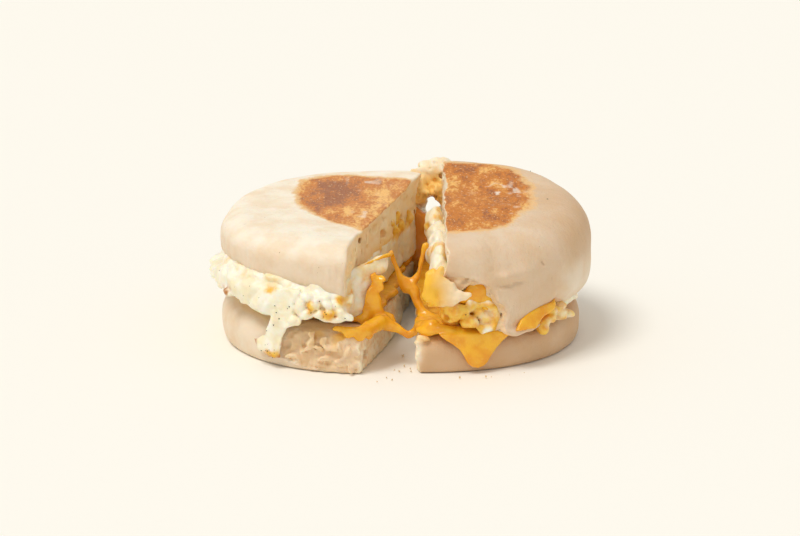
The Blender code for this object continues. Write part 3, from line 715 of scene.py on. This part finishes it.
CHEESE_CORDS = (
    ((-5, -41, 14.6, 2.2), (-3.4, -42, 14, 1.7), (-0.7, -42, 12.7, 1.15), (2.4, -42, 11, 1.15),
     (5.2, -42, 12, 1.3), (8, -44, 14.4, 1.9), (11, -48, 15.6, 2.2)),
    ((-11.6, -39.2, 34.2, 0.4), (-7.4, -36.6, 35.4, 0.5), (-3.9, -33, 36.2, 0.75),
     (-2.7, -28.6, 34.8, 0.7), (-1.4, -28, 31.1, 0.7), (0.2, -28, 27, 1), (1.6, -28, 24.4, 1.7)),
    ((2.6, -28, 23.4, 1.6), (4.6, -28, 25.4, 1.2), (6.3, -28, 28.4, 0.75), (7.1, -28, 32.5, 0.65),
     (7.6, -27.6, 36, 0.7), (9.2, -27, 38, 0.9)),
    ((3, -28, 24, 1.3), (4.9, -29.5, 22.2, 1.6), (6.1, -30, 18.3, 1.35), (8, -31.5, 15.4, 1.5),
     (11, -34, 13.8, 1.7)),
    ((-21.4, -50.6, 15.2, 0.8), (-17.4, -51.6, 15, 1.1), (-13.4, -51.6, 14.8, 1.5),
     (-9.8, -47.6, 14.8, 2.1), (-6, -42, 15.4, 2.6)),
    ((24, -45, 14.8, 1.6), (24, -47.2, 20, 1.6), (25, -49, 26, 1.8)),
    ((8.4, -48.6, 13.8, 1.5), (11.6, -49.8, 14.6, 1.6), (15.6, -50.2, 14.6, 1.5), (20, -50.4, 14, 1.4)),
)
CHEESE_LUMPS = (
    (1.9, -28, 23.6, 2.1, 1.5, 2.5), (9.6, -48.2, 16.2, 2, 2, 1.3, -30),
    (25, -49.6, 27.6, 3.4, 2.2, 3.6, 30), (21, -50, 25.6, 3, 2, 2.2), (28.6, -48.8, 24, 2.2, 2, 2.6),
    (15.6, -46, 30.4, 1.6, 1.8, 1.5), (-13, -51.4, 13.2, 1.7, 1.3, 2.2, 12),
    (-16.6, -51.6, 13.9, 1.5, 1.2, 1.5), (-10.4, -49.4, 12.8, 1.3, 1.4, 1.9, -14),
)


def melted_slice(p, disc, low, cut, side, inset, seed):
    edge = rim(p, disc) + inset + 1.2 * noise(p, 7, seed)
    edge = smooth_max(edge, side * (p[:, 0] - cut_line(cut, p)) - 0.4 + noise(p, 5, seed + 1), 1)
    return smooth_max(edge, np.abs(p[:, 2] - low - 1.6) - 1.1, 1.2)


def cheese_drip(p):
    """Run down the front of the right base: wide above, narrow and rounded at its tip."""
    x, y, z = p.T
    wide = np.interp(z, *DRIP_HALF_WIDTH)
    centre = 25.6 + 0.5 * noise(p, (9, 9, 5), 86)
    edge = smooth_max(np.abs(x - centre) - wide, np.maximum(1.8 - z, z - 15.4), 2)
    proud = mix(1.3, 0.7, fade(3, 12, z)) + 0.3 * noise(p, 5, 87)
    rounded = fade(13.5, 15.4, z) * 3
    front = fade(-20, -30, y) * 9 - 9
    return smooth_max(np.abs(rim(p, RIGHT_BASE) - proud + rounded) - 1.1, edge - front, 1.5)


def cheese(p):
    f = melted_slice(p, LEFT, LEFT_BASE_TOP, LEFT_BASE_CUT, 1, 11, 80)
    f = smooth_min(f, melted_slice(p, RIGHT_BASE, RIGHT_BASE_TOP, RIGHT_BASE_CUT, -1, 3, 82), 0.5)
    q = swirl(p, 0.5, 4, 84)
    melt = (q[:, 1] + 39.6 - 0.2 * (q[:, 0] + 8)) + 1.1 * noise(p, (4, 9, 4), 88)
    f = smooth_min(f, sheet(swirl(q, 1.1, 2.6, 123), melt, MELT, 1.5, 1.5), 0.9)
    depth = rim(p, RIGHT_TOP) + 0.2 + 0.3 * (p[:, 2] - 16.5)
    band = sheet(q, depth + 1.7, BAND, 2.8, 0.9)
    f = smooth_min(f, np.maximum(band, p[:, 1]), 0.6)
    web = q[:, 1] - 42 + 1.6 * noise(p, 5, 89)
    f = smooth_min(f, sheet(q, web, WEB, 2.2, 1.6), 1.5)
    f = gather(f, q, CHEESE_LUMPS, 1.2)
    uneven = swirl(p, 0.5, 3, 125)
    for rows in CHEESE_CORDS:
        f = smooth_min(f, cord(uneven, rows), 1.2)
    return smooth_min(f, cheese_drip(p), 1.2)


class Nodes:
    """Short calls for a material's nodes."""

    def __init__(self, name):
        self.material = bpy.data.materials.new(name)
        self.material.use_nodes = True
        self.tree = self.material.node_tree
        self.shader = self.tree.nodes["Principled BSDF"]
        where = self.add("TexCoord", {}, "Object")
        self.place = self.add("VectorMath", {0: where, "Scale": 1 / MM}, operation="SCALE")

    def link(self, value, socket):
        if isinstance(value, bpy.types.NodeSocket):
            self.tree.links.new(value, socket)
        else:
            socket.default_value = srgb(*value) if socket.type == "RGBA" else value

    def add(self, kind, inputs, output=0, **settings):
        """Make a node of a kind, with its inputs and settings, and give one of its outputs."""
        node = self.tree.nodes.new("ShaderNode" + kind)
        for setting, value in settings.items():
            setattr(node, setting, value)
        for socket, value in inputs.items():
            self.link(value, node.inputs[socket])
        return node.outputs[output]

    def noise(self, size, detail=3, roughness=0.55, squeeze=None):
        """Cloudy values with patches of the given size in millimetres."""
        place = self.place
        if squeeze:
            place = self.add("VectorMath", {0: place, 1: squeeze}, operation="MULTIPLY")
        inputs = {"Vector": place, "Scale": 1 / size, "Detail": detail, "Roughness": roughness}
        return self.add("TexNoise", inputs, "Fac")

    def mask(self, name):
        return self.add("Attribute", {}, "Fac", attribute_name=name)

    def ramp(self, value, low, high, start=0, stop=1, interpolation="SMOOTHSTEP"):
        inputs = {"Value": value, "From Min": low, "From Max": high, "To Min": start, "To Max": stop}
        return self.add("MapRange", inputs, "Result", interpolation_type=interpolation)

    def math(self, operation, a, b):
        return self.add("Math", {0: a, 1: b}, operation=operation)

    def wave(self, value, amount):
        """The value spread round zero, by the amount."""
        return self.math("MULTIPLY", self.math("SUBTRACT", value, 0.5), amount)

    def blend(self, share, a, b):
        return self.add("Mix", {0: share, 6: a, 7: b}, 2, data_type="RGBA")

    def finish(self, relief=(), **inputs):
        """Give the material, with its shader's inputs and layers of relief: heights and their millimetres."""
        normal = {}
        for height, distance in relief:
            inputs_of_bump = {"Height": height, "Distance": distance * MM, **normal}
            normal = {"Normal": self.add("Bump", inputs_of_bump, "Normal")}
        for name, value in (inputs | normal).items():
            self.link(value, self.shader.inputs[name.replace("_", " ")])
        return self.material


def srgb(red, green, blue):
    """The colour of screen values from 0 to 255."""
    values = (red / 255, green / 255, blue / 255)
    return (*(v / 12.92 if v <= 0.04045 else ((v + 0.055) / 1.055) ** 2.4 for v in values), 1)


def bread_material():
    n = Nodes("muffin_bread")
    skin = n.blend(n.ramp(n.noise(9), 0.35, 0.7), (251, 239, 218), (243, 222, 192))
    skin = n.blend(n.ramp(n.noise(1.1, 2), 0.5, 0.8, 0, 0.3), skin, (249, 237, 215))
    # The skin is painted darker as shade where less light falls: its sides below the top, the right half and
    # the bases, with a little random variation.
    skin = n.blend(n.mask("tan"), skin, (206, 163, 117))
    freckles = n.ramp(n.noise(1.3, 1, 0.4), 0.79, 0.83)
    skin = n.blend(n.math("MULTIPLY", freckles, 0.6), skin, (150, 105, 66))
    soft = n.noise(3, 3, 0.5, (1, 0.35, 1))
    crumb = n.blend(n.ramp(soft, 0.3, 0.7), (254, 242, 218), (249, 226, 188))
    # The crumb is painted darker in its holes and hollows, as shade.
    crumb = n.blend(n.math("MULTIPLY", n.mask("pit"), 0.7), crumb, (240, 204, 158))
    grain = n.noise(0.9, 4, 0.6, (1, 0.45, 1))
    tone = n.math("ADD", n.mask("toast"), n.wave(grain, 1.1))
    browned = n.blend(n.ramp(tone, 0.1, 0.5), (246, 192, 112), (210, 129, 52))
    browned = n.blend(n.ramp(tone, 0.5, 1), browned, (162, 98, 58))
    flecks = n.ramp(n.noise(0.8, 2, 0.5, (1, 0.5, 1)), 0.62, 0.72, 0, 0.6)
    browned = n.blend(flecks, browned, (246, 212, 164))
    edge = n.noise(2.6, 4, 0.6, (1, 0.6, 1))
    cover = n.math("ADD", n.mask("griddle"), n.wave(edge, 0.8))
    colour = n.blend(n.ramp(cover, 0.12, 0.45), skin, (236, 192, 134))
    colour = n.blend(n.ramp(cover, 0.4, 0.75), colour, browned)
    # The last tint, a dark brown, draws cracks in the skin and also paints shade in the deepest torn pits.
    tints = {"flour": (252, 240, 222), "crumb": crumb, "cheesy": (255, 196, 64), "mark": (150, 112, 82)}
    for name, tint in tints.items():
        colour = n.blend(n.mask(name), colour, tint)
    bubbly = n.add("TexVoronoi", {"Vector": n.place, "Scale": 1}, "Distance")
    relief = ((n.noise(0.5), 0.12), (n.math("MULTIPLY", bubbly, n.mask("griddle")), 0.3),
              (n.math("MULTIPLY", n.noise(1.3, 3, 0.6), n.mask("crumb")), 0.35),
              (n.noise(6), 0.5), (n.noise(1.6, squeeze=(1, 1, 0.22)), 0.25))
    rough = n.ramp(n.mask("cheesy"), 0, 1, 0.66, 0.28, "LINEAR")
    return n.finish(relief, Base_Color=colour, Roughness=rough, Specular_IOR_Level=0.3,
                    Subsurface_Weight=0.25, Subsurface_Radius=(1.6, 0.9, 0.5), Subsurface_Scale=MM)


def egg_material():
    n = Nodes("cooked_egg")
    white = n.blend(n.ramp(n.noise(6), 0.35, 0.65), (252, 246, 228), (249, 235, 200))
    yolk = n.blend(n.ramp(n.noise(2.4), 0.35, 0.65), (247, 204, 84), (236, 170, 44))
    share = n.math("ADD", n.mask("yolk"), n.wave(n.noise(3.6, 3, 0.5), 0.9))
    colour = n.blend(n.ramp(share, 0.3, 0.8), white, yolk)
    colour = n.blend(n.mask("browned"), colour, (186, 120, 56))
    relief = ((n.noise(0.8, 3, 0.5), 0.12), (n.noise(2.6, 2, 0.5), 0.25))
    return n.finish(relief, Base_Color=colour, Roughness=0.33, Subsurface_Weight=0.4,
                    Subsurface_Radius=(1.6, 1.1, 0.5), Subsurface_Scale=MM)


def cheese_material():
    n = Nodes("melted_cheese")
    colour = n.blend(n.ramp(n.noise(5), 0.35, 0.65), (250, 188, 46), (239, 163, 30))
    # Pale flecks in the colour of lit cheese: painted highlights.
    colour = n.blend(n.ramp(n.noise(1.6, 2), 0.6, 0.75, 0, 0.35), colour, (248, 202, 98))
    # Cheese towards the back is darkened as painted shade.
    colour = n.blend(n.mask("baked"), colour, (222, 146, 56))
    return n.finish([(n.noise(1.6, 3, 0.6), 0.2)], Base_Color=colour, Roughness=0.18, Subsurface_Weight=0.3,
                    Subsurface_Radius=(1.2, 0.7, 0.2), Subsurface_Scale=MM)


def plain_material(name, light, dark, roughness):
    n = Nodes(name)
    return n.finish(Base_Color=n.blend(n.ramp(n.noise(0.8, 2), 0.3, 0.7), light, dark), Roughness=roughness)


def spot(p, middle, size):
    """1 at the middle, fading to nothing over about twice the size."""
    size = np.asarray(size, np.float32)
    return np.exp(-(((p - np.asarray(middle, np.float32)) / size) ** 2).sum(1))


def spots(p, rows):
    """Soft spots added up. A row has a strength, a middle and three sizes."""
    return sum(row[0] * spot(p, row[1:4], row[4:]) for row in rows)


def scratches(p, lines, width):
    """1 along each of the lines, given as rows of points."""
    best = np.full(len(p), 9, np.float32)
    for points in lines:
        best = np.minimum(best, strand(p, points, (0,) * len(points), 0.01))
    return fade(width, 0.4 * width, best)


def bread_masks(p, **masks):
    """All the masks that the bread material reads, those not given being empty."""
    empty = np.zeros(len(p), np.float32)
    names = ("crumb", "griddle", "toast", "flour", "cheesy", "mark", "tan", "pit")
    return {name: masks.get(name, empty) for name in names}


def griddle_left(p):
    """Browned patch of the left top: where two circles overlap."""
    x, y, z = p.T
    side = 69.5 - np.hypot(x - 34, y - 21)
    back = 44.5 - np.hypot(x + 19, y + 4)
    depth = smooth_min(side, back, 6) + 1.4 * noise(p, 6, 90)
    return fade(-3.5, 3.5, depth) * fade(37, 40, z)


def griddle_right(p):
    """Browned patch of the right top: where two circles overlap, short of the front."""
    x, y, z = p.T
    side = 70.5 - np.hypot(x + 26, y - 5)
    back = 49 - np.hypot(x - 14, y + 6)
    depth = smooth_min(smooth_min(side, back, 6), y + 40, 8) + 1.4 * noise(p, 6, 91)
    return fade(-6.5, 5, depth) * fade(38, 42.5, z)


LEFT_CRACKS = (((-52, -19, 42.6), (-51.6, -21, 40.6), (-51.4, -22, 38.4)),)
RIGHT_CRACKS = (
    ((42.2, -44, 42.6), (43.6, -44.6, 40.6), (45.4, -43.9, 38.6), (46.6, -42.9, 36.6), (47.6, -41.9, 34.8)),
    ((50.4, -39.4, 30), (51, -38.8, 27.9), (51.4, -38.4, 26), (52.2, -37.6, 23.8)),
)


def underside(p, disc, keys):
    """1 on the underside of a top half, inside its lip."""
    radius, degrees, reach = polar(p, disc)
    edge = np.interp(degrees, *keys)
    return fade(2.6, 3.6, reach - radius) * fade(edge + 3, edge + 1.5, p[:, 2])


LEFT_SCORCH = ((0.6, -22, 24, 43.6, 9, 17, 9), (0.4, -28, 6, 43.6, 5, 12, 9),
               (0.2, -2, 34, 43.6, 7, 6, 9), (-0.25, -11, -16, 43.6, 6, 11, 9))
RIGHT_SCORCH = ((0.22, 23, 40, 47, 7, 10, 9), (0.12, 28, -10, 47, 12, 18, 9))


def top_left_masks(p):
    cut, griddle = left_top_cut(p), griddle_left(p)
    crumb = fade(0.2, 1.1, cut - left_top_skin(p))
    streaks = 0.34 * noise(p, (3.2, 8.5, 3.2), 92) + 0.2 * noise(p, (1.4, 3.6, 1.4), 96)
    floury = np.maximum(spot(p, (-10, -12, 43.6), (6, 12, 9)), spot(p, (-14, 30, 43.6), (8, 8, 9)))
    flour = 0.05 + 0.55 * fade(0.3, 0.6, noise(p, (2.2, 5, 2.2), 97)) * floury
    soaked = 0.26 + 0.6 * spot(p, (-6, -10, 30), (8, 26, 3))
    return bread_masks(
        # Painted shade: the crumb darker in the holes behind the cut.
        p, crumb=np.maximum(crumb, underside(p, LEFT, LEFT_LIP)), pit=fade(-0.4, -2, cut),
        griddle=griddle * (1 - crumb), toast=0.38 + streaks + spots(p, LEFT_SCORCH),
        flour=flour * griddle, cheesy=soaked * crumb, mark=0.3 * scratches(p, LEFT_CRACKS, 0.6),
        # Painted shade: the skin's sides darker than its top.
        tan=0.36 * fade(42, 36, p[:, 2]))


def top_right_masks(p):
    cut, skin = right_top_cut(p), right_top_skin(p)
    crumb = fade(-0.3, 0.5, cut - skin)
    tear = fade(0.3, 0.9, right_top_tear(p))
    notch = fade(0.3, 1, skin) * spot(p, (18.6, -51, 31.6), (8, 8, 5))
    streaks = 0.3 * noise(p, (3.2, 8.5, 3.2), 93) + 0.2 * noise(p, (1.4, 3.6, 1.4), 96)
    floury = np.maximum(spot(p, (35, 9, 47), (9, 9, 9)), 0.6 * spot(p, (37, -16, 47), (5, 9, 9)))
    lines = fade(0.14, 0.042, np.abs(noise(swirl(p, 1.6, 3, 100), (3, 6, 3), 98)))
    lines = lines * fade(-0.15, 0.25, noise(p, (2.4, 4, 2.4), 99))
    marks = scratches(swirl(p, 0.5, 2, 110), RIGHT_CRACKS, 0.5) * fade(-0.5, 0.4, noise(p, 2, 113))
    # Painted shade: the whole half's skin darker, with a little random variation, most on its right side and
    # a little less low on the right.
    tan = 0.52 + 0.1 * noise(p, 12, 108) + 0.42 * spot(p, (56, -2, 41), (14, 30, 8))
    return bread_masks(
        p, crumb=np.maximum.reduce([crumb, tear, underside(p, RIGHT_TOP, RIGHT_LIP), 1.6 * notch]),
        # Painted shade: the crumb darker in the holes behind the cut and in the deeper torn pits.
        pit=np.maximum(fade(-0.4, -2, cut), fade(0.4, 1, pits(p)) * tear),
        griddle=griddle_right(p) * (1 - crumb), toast=0.5 + streaks + spots(p, RIGHT_SCORCH),
        # Cracks, and painted shade in the deepest torn pits.
        flour=0.8 * lines * floury, mark=np.maximum(0.5 * marks, 0.4 * fade(0.9, 1.7, pits(p)) * tear),
        tan=tan - 0.22 * fade(48, 60, p[:, 0]) * fade(34, 28, p[:, 2]))


def flap_masks(p):
    cheesy = fade(18, 10, p[:, 0] + 2 * noise(p, 3, 94))
    cheesy = np.maximum(cheesy, spot(p, (13.4, -54.6, 36.8), (2, 3, 1.6)))
    return bread_masks(p, cheesy=0.24 + 0.76 * cheesy, crumb=fade(20, 23, p[:, 0]))


def hinge_masks(p):
    height = p[:, 2] + 1.2 * noise(p, 3, 115)
    # Painted shade: the crumb darker in its hollows.
    return bread_masks(p, crumb=np.ones(len(p)), pit=0.7 * fade(-0.2, 0.5, -noise(p, 2.6, 17)),
                       cheesy=0.74 * fade(48.5, 40.5, height) * fade(17, 14, p[:, 0]))


def base_masks(p, disc, height, cut, crumb, **masks):
    """Crumb on the cut and the top of a base, and its underside lightly toasted."""
    top = fade(height - 1.2, height - 0.4, p[:, 2])
    radius, degrees, reach = polar(p, disc)
    toast = fade(0.8, 0.1, p[:, 2]) * fade(0.95, 0.85, radius / reach)
    crumb = np.maximum.reduce([fade(-1, -0.2, cut), top, crumb])
    return bread_masks(p, crumb=crumb, griddle=toast, toast=0.5 * toast, **masks)


SOAKED = ((1.3, -18.5, -52, 13.2, 4.4, 5, 3.2), (1, -26.8, -50, 13.6, 2.2, 6, 3),
          (1, -32.4, -48, 12, 1.4, 6, 2.4))


def base_left_masks(p):
    cut, tear = left_base_cut(p), fade(0.3, 1.2, left_base_tear(p))
    # Painted shade: the skin darker, more so towards the cut.
    return base_masks(p, LEFT, LEFT_BASE_TOP, cut, tear, tan=0.3 + 0.25 * fade(-45, -15, p[:, 0]),
                      cheesy=0.8 * spots(p, SOAKED) * fade(-0.3, 0.4, noise(p, 2.6, 94)),
                      # Painted shade: the crumb darker in the holes behind the cut and in the deeper torn
                      # pits.
                      pit=np.maximum(fade(-0.4, -2, cut), fade(0.7, 1.3, pits(p)) * tear))


def base_right_masks(p):
    cut, shreds = right_base_cut(p), 1.3 * spot(p, (5.6, -52, 9), (2.2, 4, 6))
    # Painted shade: the skin much darker all over, with a little random variation.
    return base_masks(p, RIGHT_BASE, RIGHT_BASE_TOP, cut, shreds, tan=0.85 + 0.12 * noise(p, 12, 109),
                      # Painted shade: the crumb darker in the holes behind the cut.
                      cheesy=0.6 * spot(p, (9, -50, 12.6), (5, 4, 1.6)), pit=fade(-0.4, -2, cut))


LEFT_YOLK = (
    (0.6, -43, -46, 27.5, 3, 5, 2.4), (0.8, -23.4, -54.4, 21.2, 2.2, 3, 2),
    (0.5, -29.6, -54, 23.6, 1.6, 3, 3), (0.9, -17.6, -47, 25.6, 2.6, 6, 3.4),
    (0.9, 0, 18, 34.6, 5, 16, 5), (0.3, -11, -38, 25, 5, 7, 9),
    (0.2, -26, -53, 22, 8, 5, 4), (0.7, -43, -46.5, 5, 4.5, 5, 2), (0.5, -20, -54, 26, 2, 3, 2),
)
LEFT_BROWNED = ((1.2, -58.4, -28.4, 22, 2.4, 4, 1.8), (0.9, -42.4, -46.5, 3.6, 6, 5, 1.3),
                (0.7, -48.4, -41, 7, 0.9, 2.6, 2.6))
RIGHT_YOLK = (
    (-0.35, 27.8, -50.5, 19.4, 4.6, 4, 4.6), (0.8, 14.6, -38, 30.6, 2.4, 3, 1.8),
    (-1, 13, -53, 17, 2.6, 2.6, 2.2), (-1, 28.4, -50, 14.2, 1.8, 2, 1.4), (-0.3, 52, -34, 15, 7, 9, 6),
)


def egg_left_masks(p):
    x, z = p[:, 0], p[:, 2]
    edge = fade(-1.3, -0.2, polygon(x, z, STRIP)) * fade(10.5, 8, z)
    browned = spots(p, LEFT_BROWNED) * fade(-0.5, 0.3, noise(p, 1.4, 95))
    browned += 0.8 * edge * fade(-0.3, 0.2, noise(p, 2.2, 124))
    return {"yolk": 0.1 + spots(p, LEFT_YOLK) + 0.25 * fade(27, 30.5, z), "browned": browned}


def egg_right_masks(p):
    front = fade(27, 23, p[:, 2]) * fade(-20, -35, p[:, 1])
    above = fade(0.2, 0.6, noise(p, 5, 99)) * fade(26, 28, p[:, 2])
    yolk = 0.1 + 0.75 * front + 0.5 * above + spots(p, RIGHT_YOLK)
    return {"yolk": yolk, "browned": np.zeros(len(p))}


def buried_cheese(p):
    left, right = deep(LEFT, 1, LEFT_BASE_CUT, 60), deep(RIGHT_BASE, -1, RIGHT_BASE_CUT, 60)
    return (left(p) | right(p)) & (p[:, 1] < 36)


def cheese_masks(p):
    # Painted shade: the cheese darker towards the back.
    return {"baked": fade(30, 40, p[:, 1])}


def settle(field, places):
    """Move points on to the nearest surface of a field."""
    places = np.array(places, np.float32)
    step = 0.2
    for _ in range(8):
        value = field(places)
        beside = [field(places + side) for side in step * np.eye(3, dtype=np.float32)]
        slope = np.stack([(other - value) / step for other in beside], 1)
        places = places - (value / np.maximum((slope ** 2).sum(1), 0.1))[:, None] * slope
    return places


def chips(name, places, sizes, seed, look):
    """Many small uneven grains joined in one mesh."""
    draw = np.random.default_rng(seed)
    corners = np.array(((1, 0, 0), (-1, 0, 0), (0, 1, 0), (0, -1, 0), (0, 0, 1), (0, 0, -1)), np.float32)
    faces = np.array(((0, 2, 4), (2, 1, 4), (1, 3, 4), (3, 0, 4), (2, 0, 5), (1, 2, 5), (3, 1, 5), (0, 3, 5)))
    points, triangles = [], []
    for index, (place, size) in enumerate(zip(places, sizes)):
        spin = np.array(Matrix.Rotation(draw.uniform(0, 6.28), 3, Vector(draw.normal(size=3)).normalized()))
        shape = corners * size * draw.uniform(0.55, 1.25, (6, 1)) * draw.uniform(0.5, 1, 3)
        points.append(shape @ spin.T + place)
        triangles.append(faces + 6 * index)
    mesh = build_mesh(name, np.concatenate(points).astype(np.float32), np.concatenate(triangles))
    add_piece(name, mesh, look)


PEPPER_LEFT = (
    (-42.9, -46.2, 30.6), (-26.7, -54.4, 25.4), (-29.1, -53.7, 21.6), (-24, -55.1, 21.6), (-25, -55, 22.4),
    (-41.2, -47.5, 22.2), (-37.4, -49.8, 21.8), (-40.1, -48.3, 18), (-40.9, -47.8, 20.1),
    (-44.6, -45.1, 12.8), (-18.4, -56.4, 19.7), (-46.8, -43.2, 5.3), (-44.6, -45.1, 5.6),
    (-36.6, -50, 22.6), (-41.8, -47, 15.4),
)
PEPPER_RIGHT = ((21.4, -52.7, 21), (25.5, -51.7, 18.2), (48, -39.1, 12.5), (17.4, -53, 22.4))
PEPPER_CRUST = ((44.9, 34.5, 45), (50.2, -1, 44))
FLOOR_CRUMBS = (
    (-7.5, -62), (-2.6, -59.2), (-1.8, -48.5), (3.4, -46.7), (1.1, -33), (-0.3, -50.3), (3.6, -50.3),
    (-4.4, -57), (1.4, -44), (30, -56), (36, -53.6), (28.2, -56.6), (41, -50.8), (19.6, -57.4),
)


def add_pepper():
    draw = np.random.default_rng(5)
    around = np.radians(draw.uniform(-160, -106, 15))
    fine = [(LEFT.x + 60 * math.cos(a), LEFT.y + 60 * math.sin(a), draw.uniform(18, 28)) for a in around]
    fine += [(draw.uniform(-48, -40), -46, draw.uniform(4, 9.5)) for _ in range(9)]
    places = [settle(egg_left, [*PEPPER_LEFT, *fine]), settle(egg_right, PEPPER_RIGHT),
              settle(right_top, PEPPER_CRUST)]
    coarse_size, fine_size = 0.42, 0.26
    sizes = np.full(sum(map(len, places)), coarse_size)
    sizes[len(PEPPER_LEFT):len(PEPPER_LEFT) + len(fine)] = fine_size
    look = (plain_material("pepper", (60, 48, 36), (52, 41, 30), 0.6), "egg")
    chips("pepper", np.concatenate(places), sizes, 11, look)


def add_crumbs():
    sizes = np.random.default_rng(6).uniform(0.3, 0.7, len(FLOOR_CRUMBS))
    places = np.column_stack([FLOOR_CRUMBS, 1.1 * sizes])
    look = (plain_material("loose_crumb", (236, 208, 164), (208, 183, 144), 0.8), "muffin_crust")
    chips("crumbs", places, sizes, 12, look)


def main():
    bread, egg = (bread_material(), "muffin_crust"), (egg_material(), "egg")
    melted = (cheese_material(), "cheese")
    form("top_left", left_top, top_left_masks, (-66, -60, 24), (14, 64, 48), bread, "muffin_top",
         deep(LEFT, 1, LEFT_TOP_CUT, 36))
    form("top_right", right_top, top_right_masks, (4, -60, 10), (70, 62, 52), bread, "muffin_top",
         deep(RIGHT_TOP, -1, RIGHT_TOP_CUT, 36))
    form("top_flap", torn_flap, flap_masks, (2, -62, 18), (30, -44, 42), bread, "muffin_top", cell=FLAP_CELL)
    form("top_hinge", hinge, hinge_masks, (-8, 38, 30), (30, 60, 52), bread, "muffin_top")
    form("base_left", left_base, base_left_masks, (-66, -60, -2), (6, 64, 18), bread, "muffin_base_left",
         deep(LEFT, 1, LEFT_BASE_CUT, 60))
    form("base_right", right_base, base_right_masks, (2, -58, -2), (66, 62, 16), bread, "muffin_base_right",
         deep(RIGHT_BASE, -1, RIGHT_BASE_CUT, 60))
    form("egg_fold_left", egg_left, egg_left_masks, (-72, -64, 0), (14, 68, 42), egg, "egg_left",
         deep(LEFT, 1, LEFT_TOP_CUT, 60), FILLING_CELL, 1)
    form("egg_fold_right", egg_right, egg_right_masks, (4, -62, 6), (70, 64, 44), egg, "egg_right",
         deep(RIGHT_BASE, -1, RIGHT_TOP_CUT, 60), FILLING_CELL, 1)
    form("cheese_melt", cheese, cheese_masks, (-66, -62, 0), (66, 64, 42), melted, "cheese",
         buried_cheese, FILLING_CELL)
    add_pepper()
    add_crumbs()


def camera():
    """The photograph's viewpoint: a long lens about 15 degrees above the table."""
    lens, back, height, down = 144, 1.06217, 0.30895, 15.10
    data = bpy.data.cameras.new("camera")
    data.lens = lens
    obj = add_object("camera", data)
    obj.location = (TO_ORIGIN[0] * MM, -back + TO_ORIGIN[1] * MM, height)
    obj.rotation_euler = (math.radians(90 - down), 0, 0)
    bpy.context.scene.camera = obj


def light():
    """Broad, even light from the front left."""
    direction = Vector((-0.5, -0.42, 1.3))
    sun_strength, sun_spread, sky_strength = 1.55, 26, 0.61
    data = bpy.data.lights.new("key", "SUN")
    data.energy = sun_strength
    data.angle = math.radians(sun_spread)
    data.color = (1, 0.985, 0.955)
    obj = add_object("key", data)
    obj.location = direction
    obj.rotation_euler = (-direction).to_track_quat("-Z", "Y").to_euler()
    world = bpy.data.worlds.new("studio")
    world.use_nodes = True
    sky = world.node_tree.nodes["Background"]
    sky.inputs["Color"].default_value = (1, 0.985, 0.96, 1)
    sky.inputs["Strength"].default_value = sky_strength
    bpy.context.scene.world = world


def stage():
    far = 4
    mesh = bpy.data.meshes.new("floor")
    mesh.from_pydata([(-far, -far, 0), (far, -far, 0), (far, far, 0), (-far, far, 0)], [], [(0, 1, 2, 3)])
    mesh.materials.append(Nodes("pale_floor").finish(Base_Color=(250, 247, 238), Roughness=0.9))
    floor = add_object("floor", mesh)
    bpy.context.scene.view_settings.view_transform = "Standard"


main()
camera()
light()
stage()
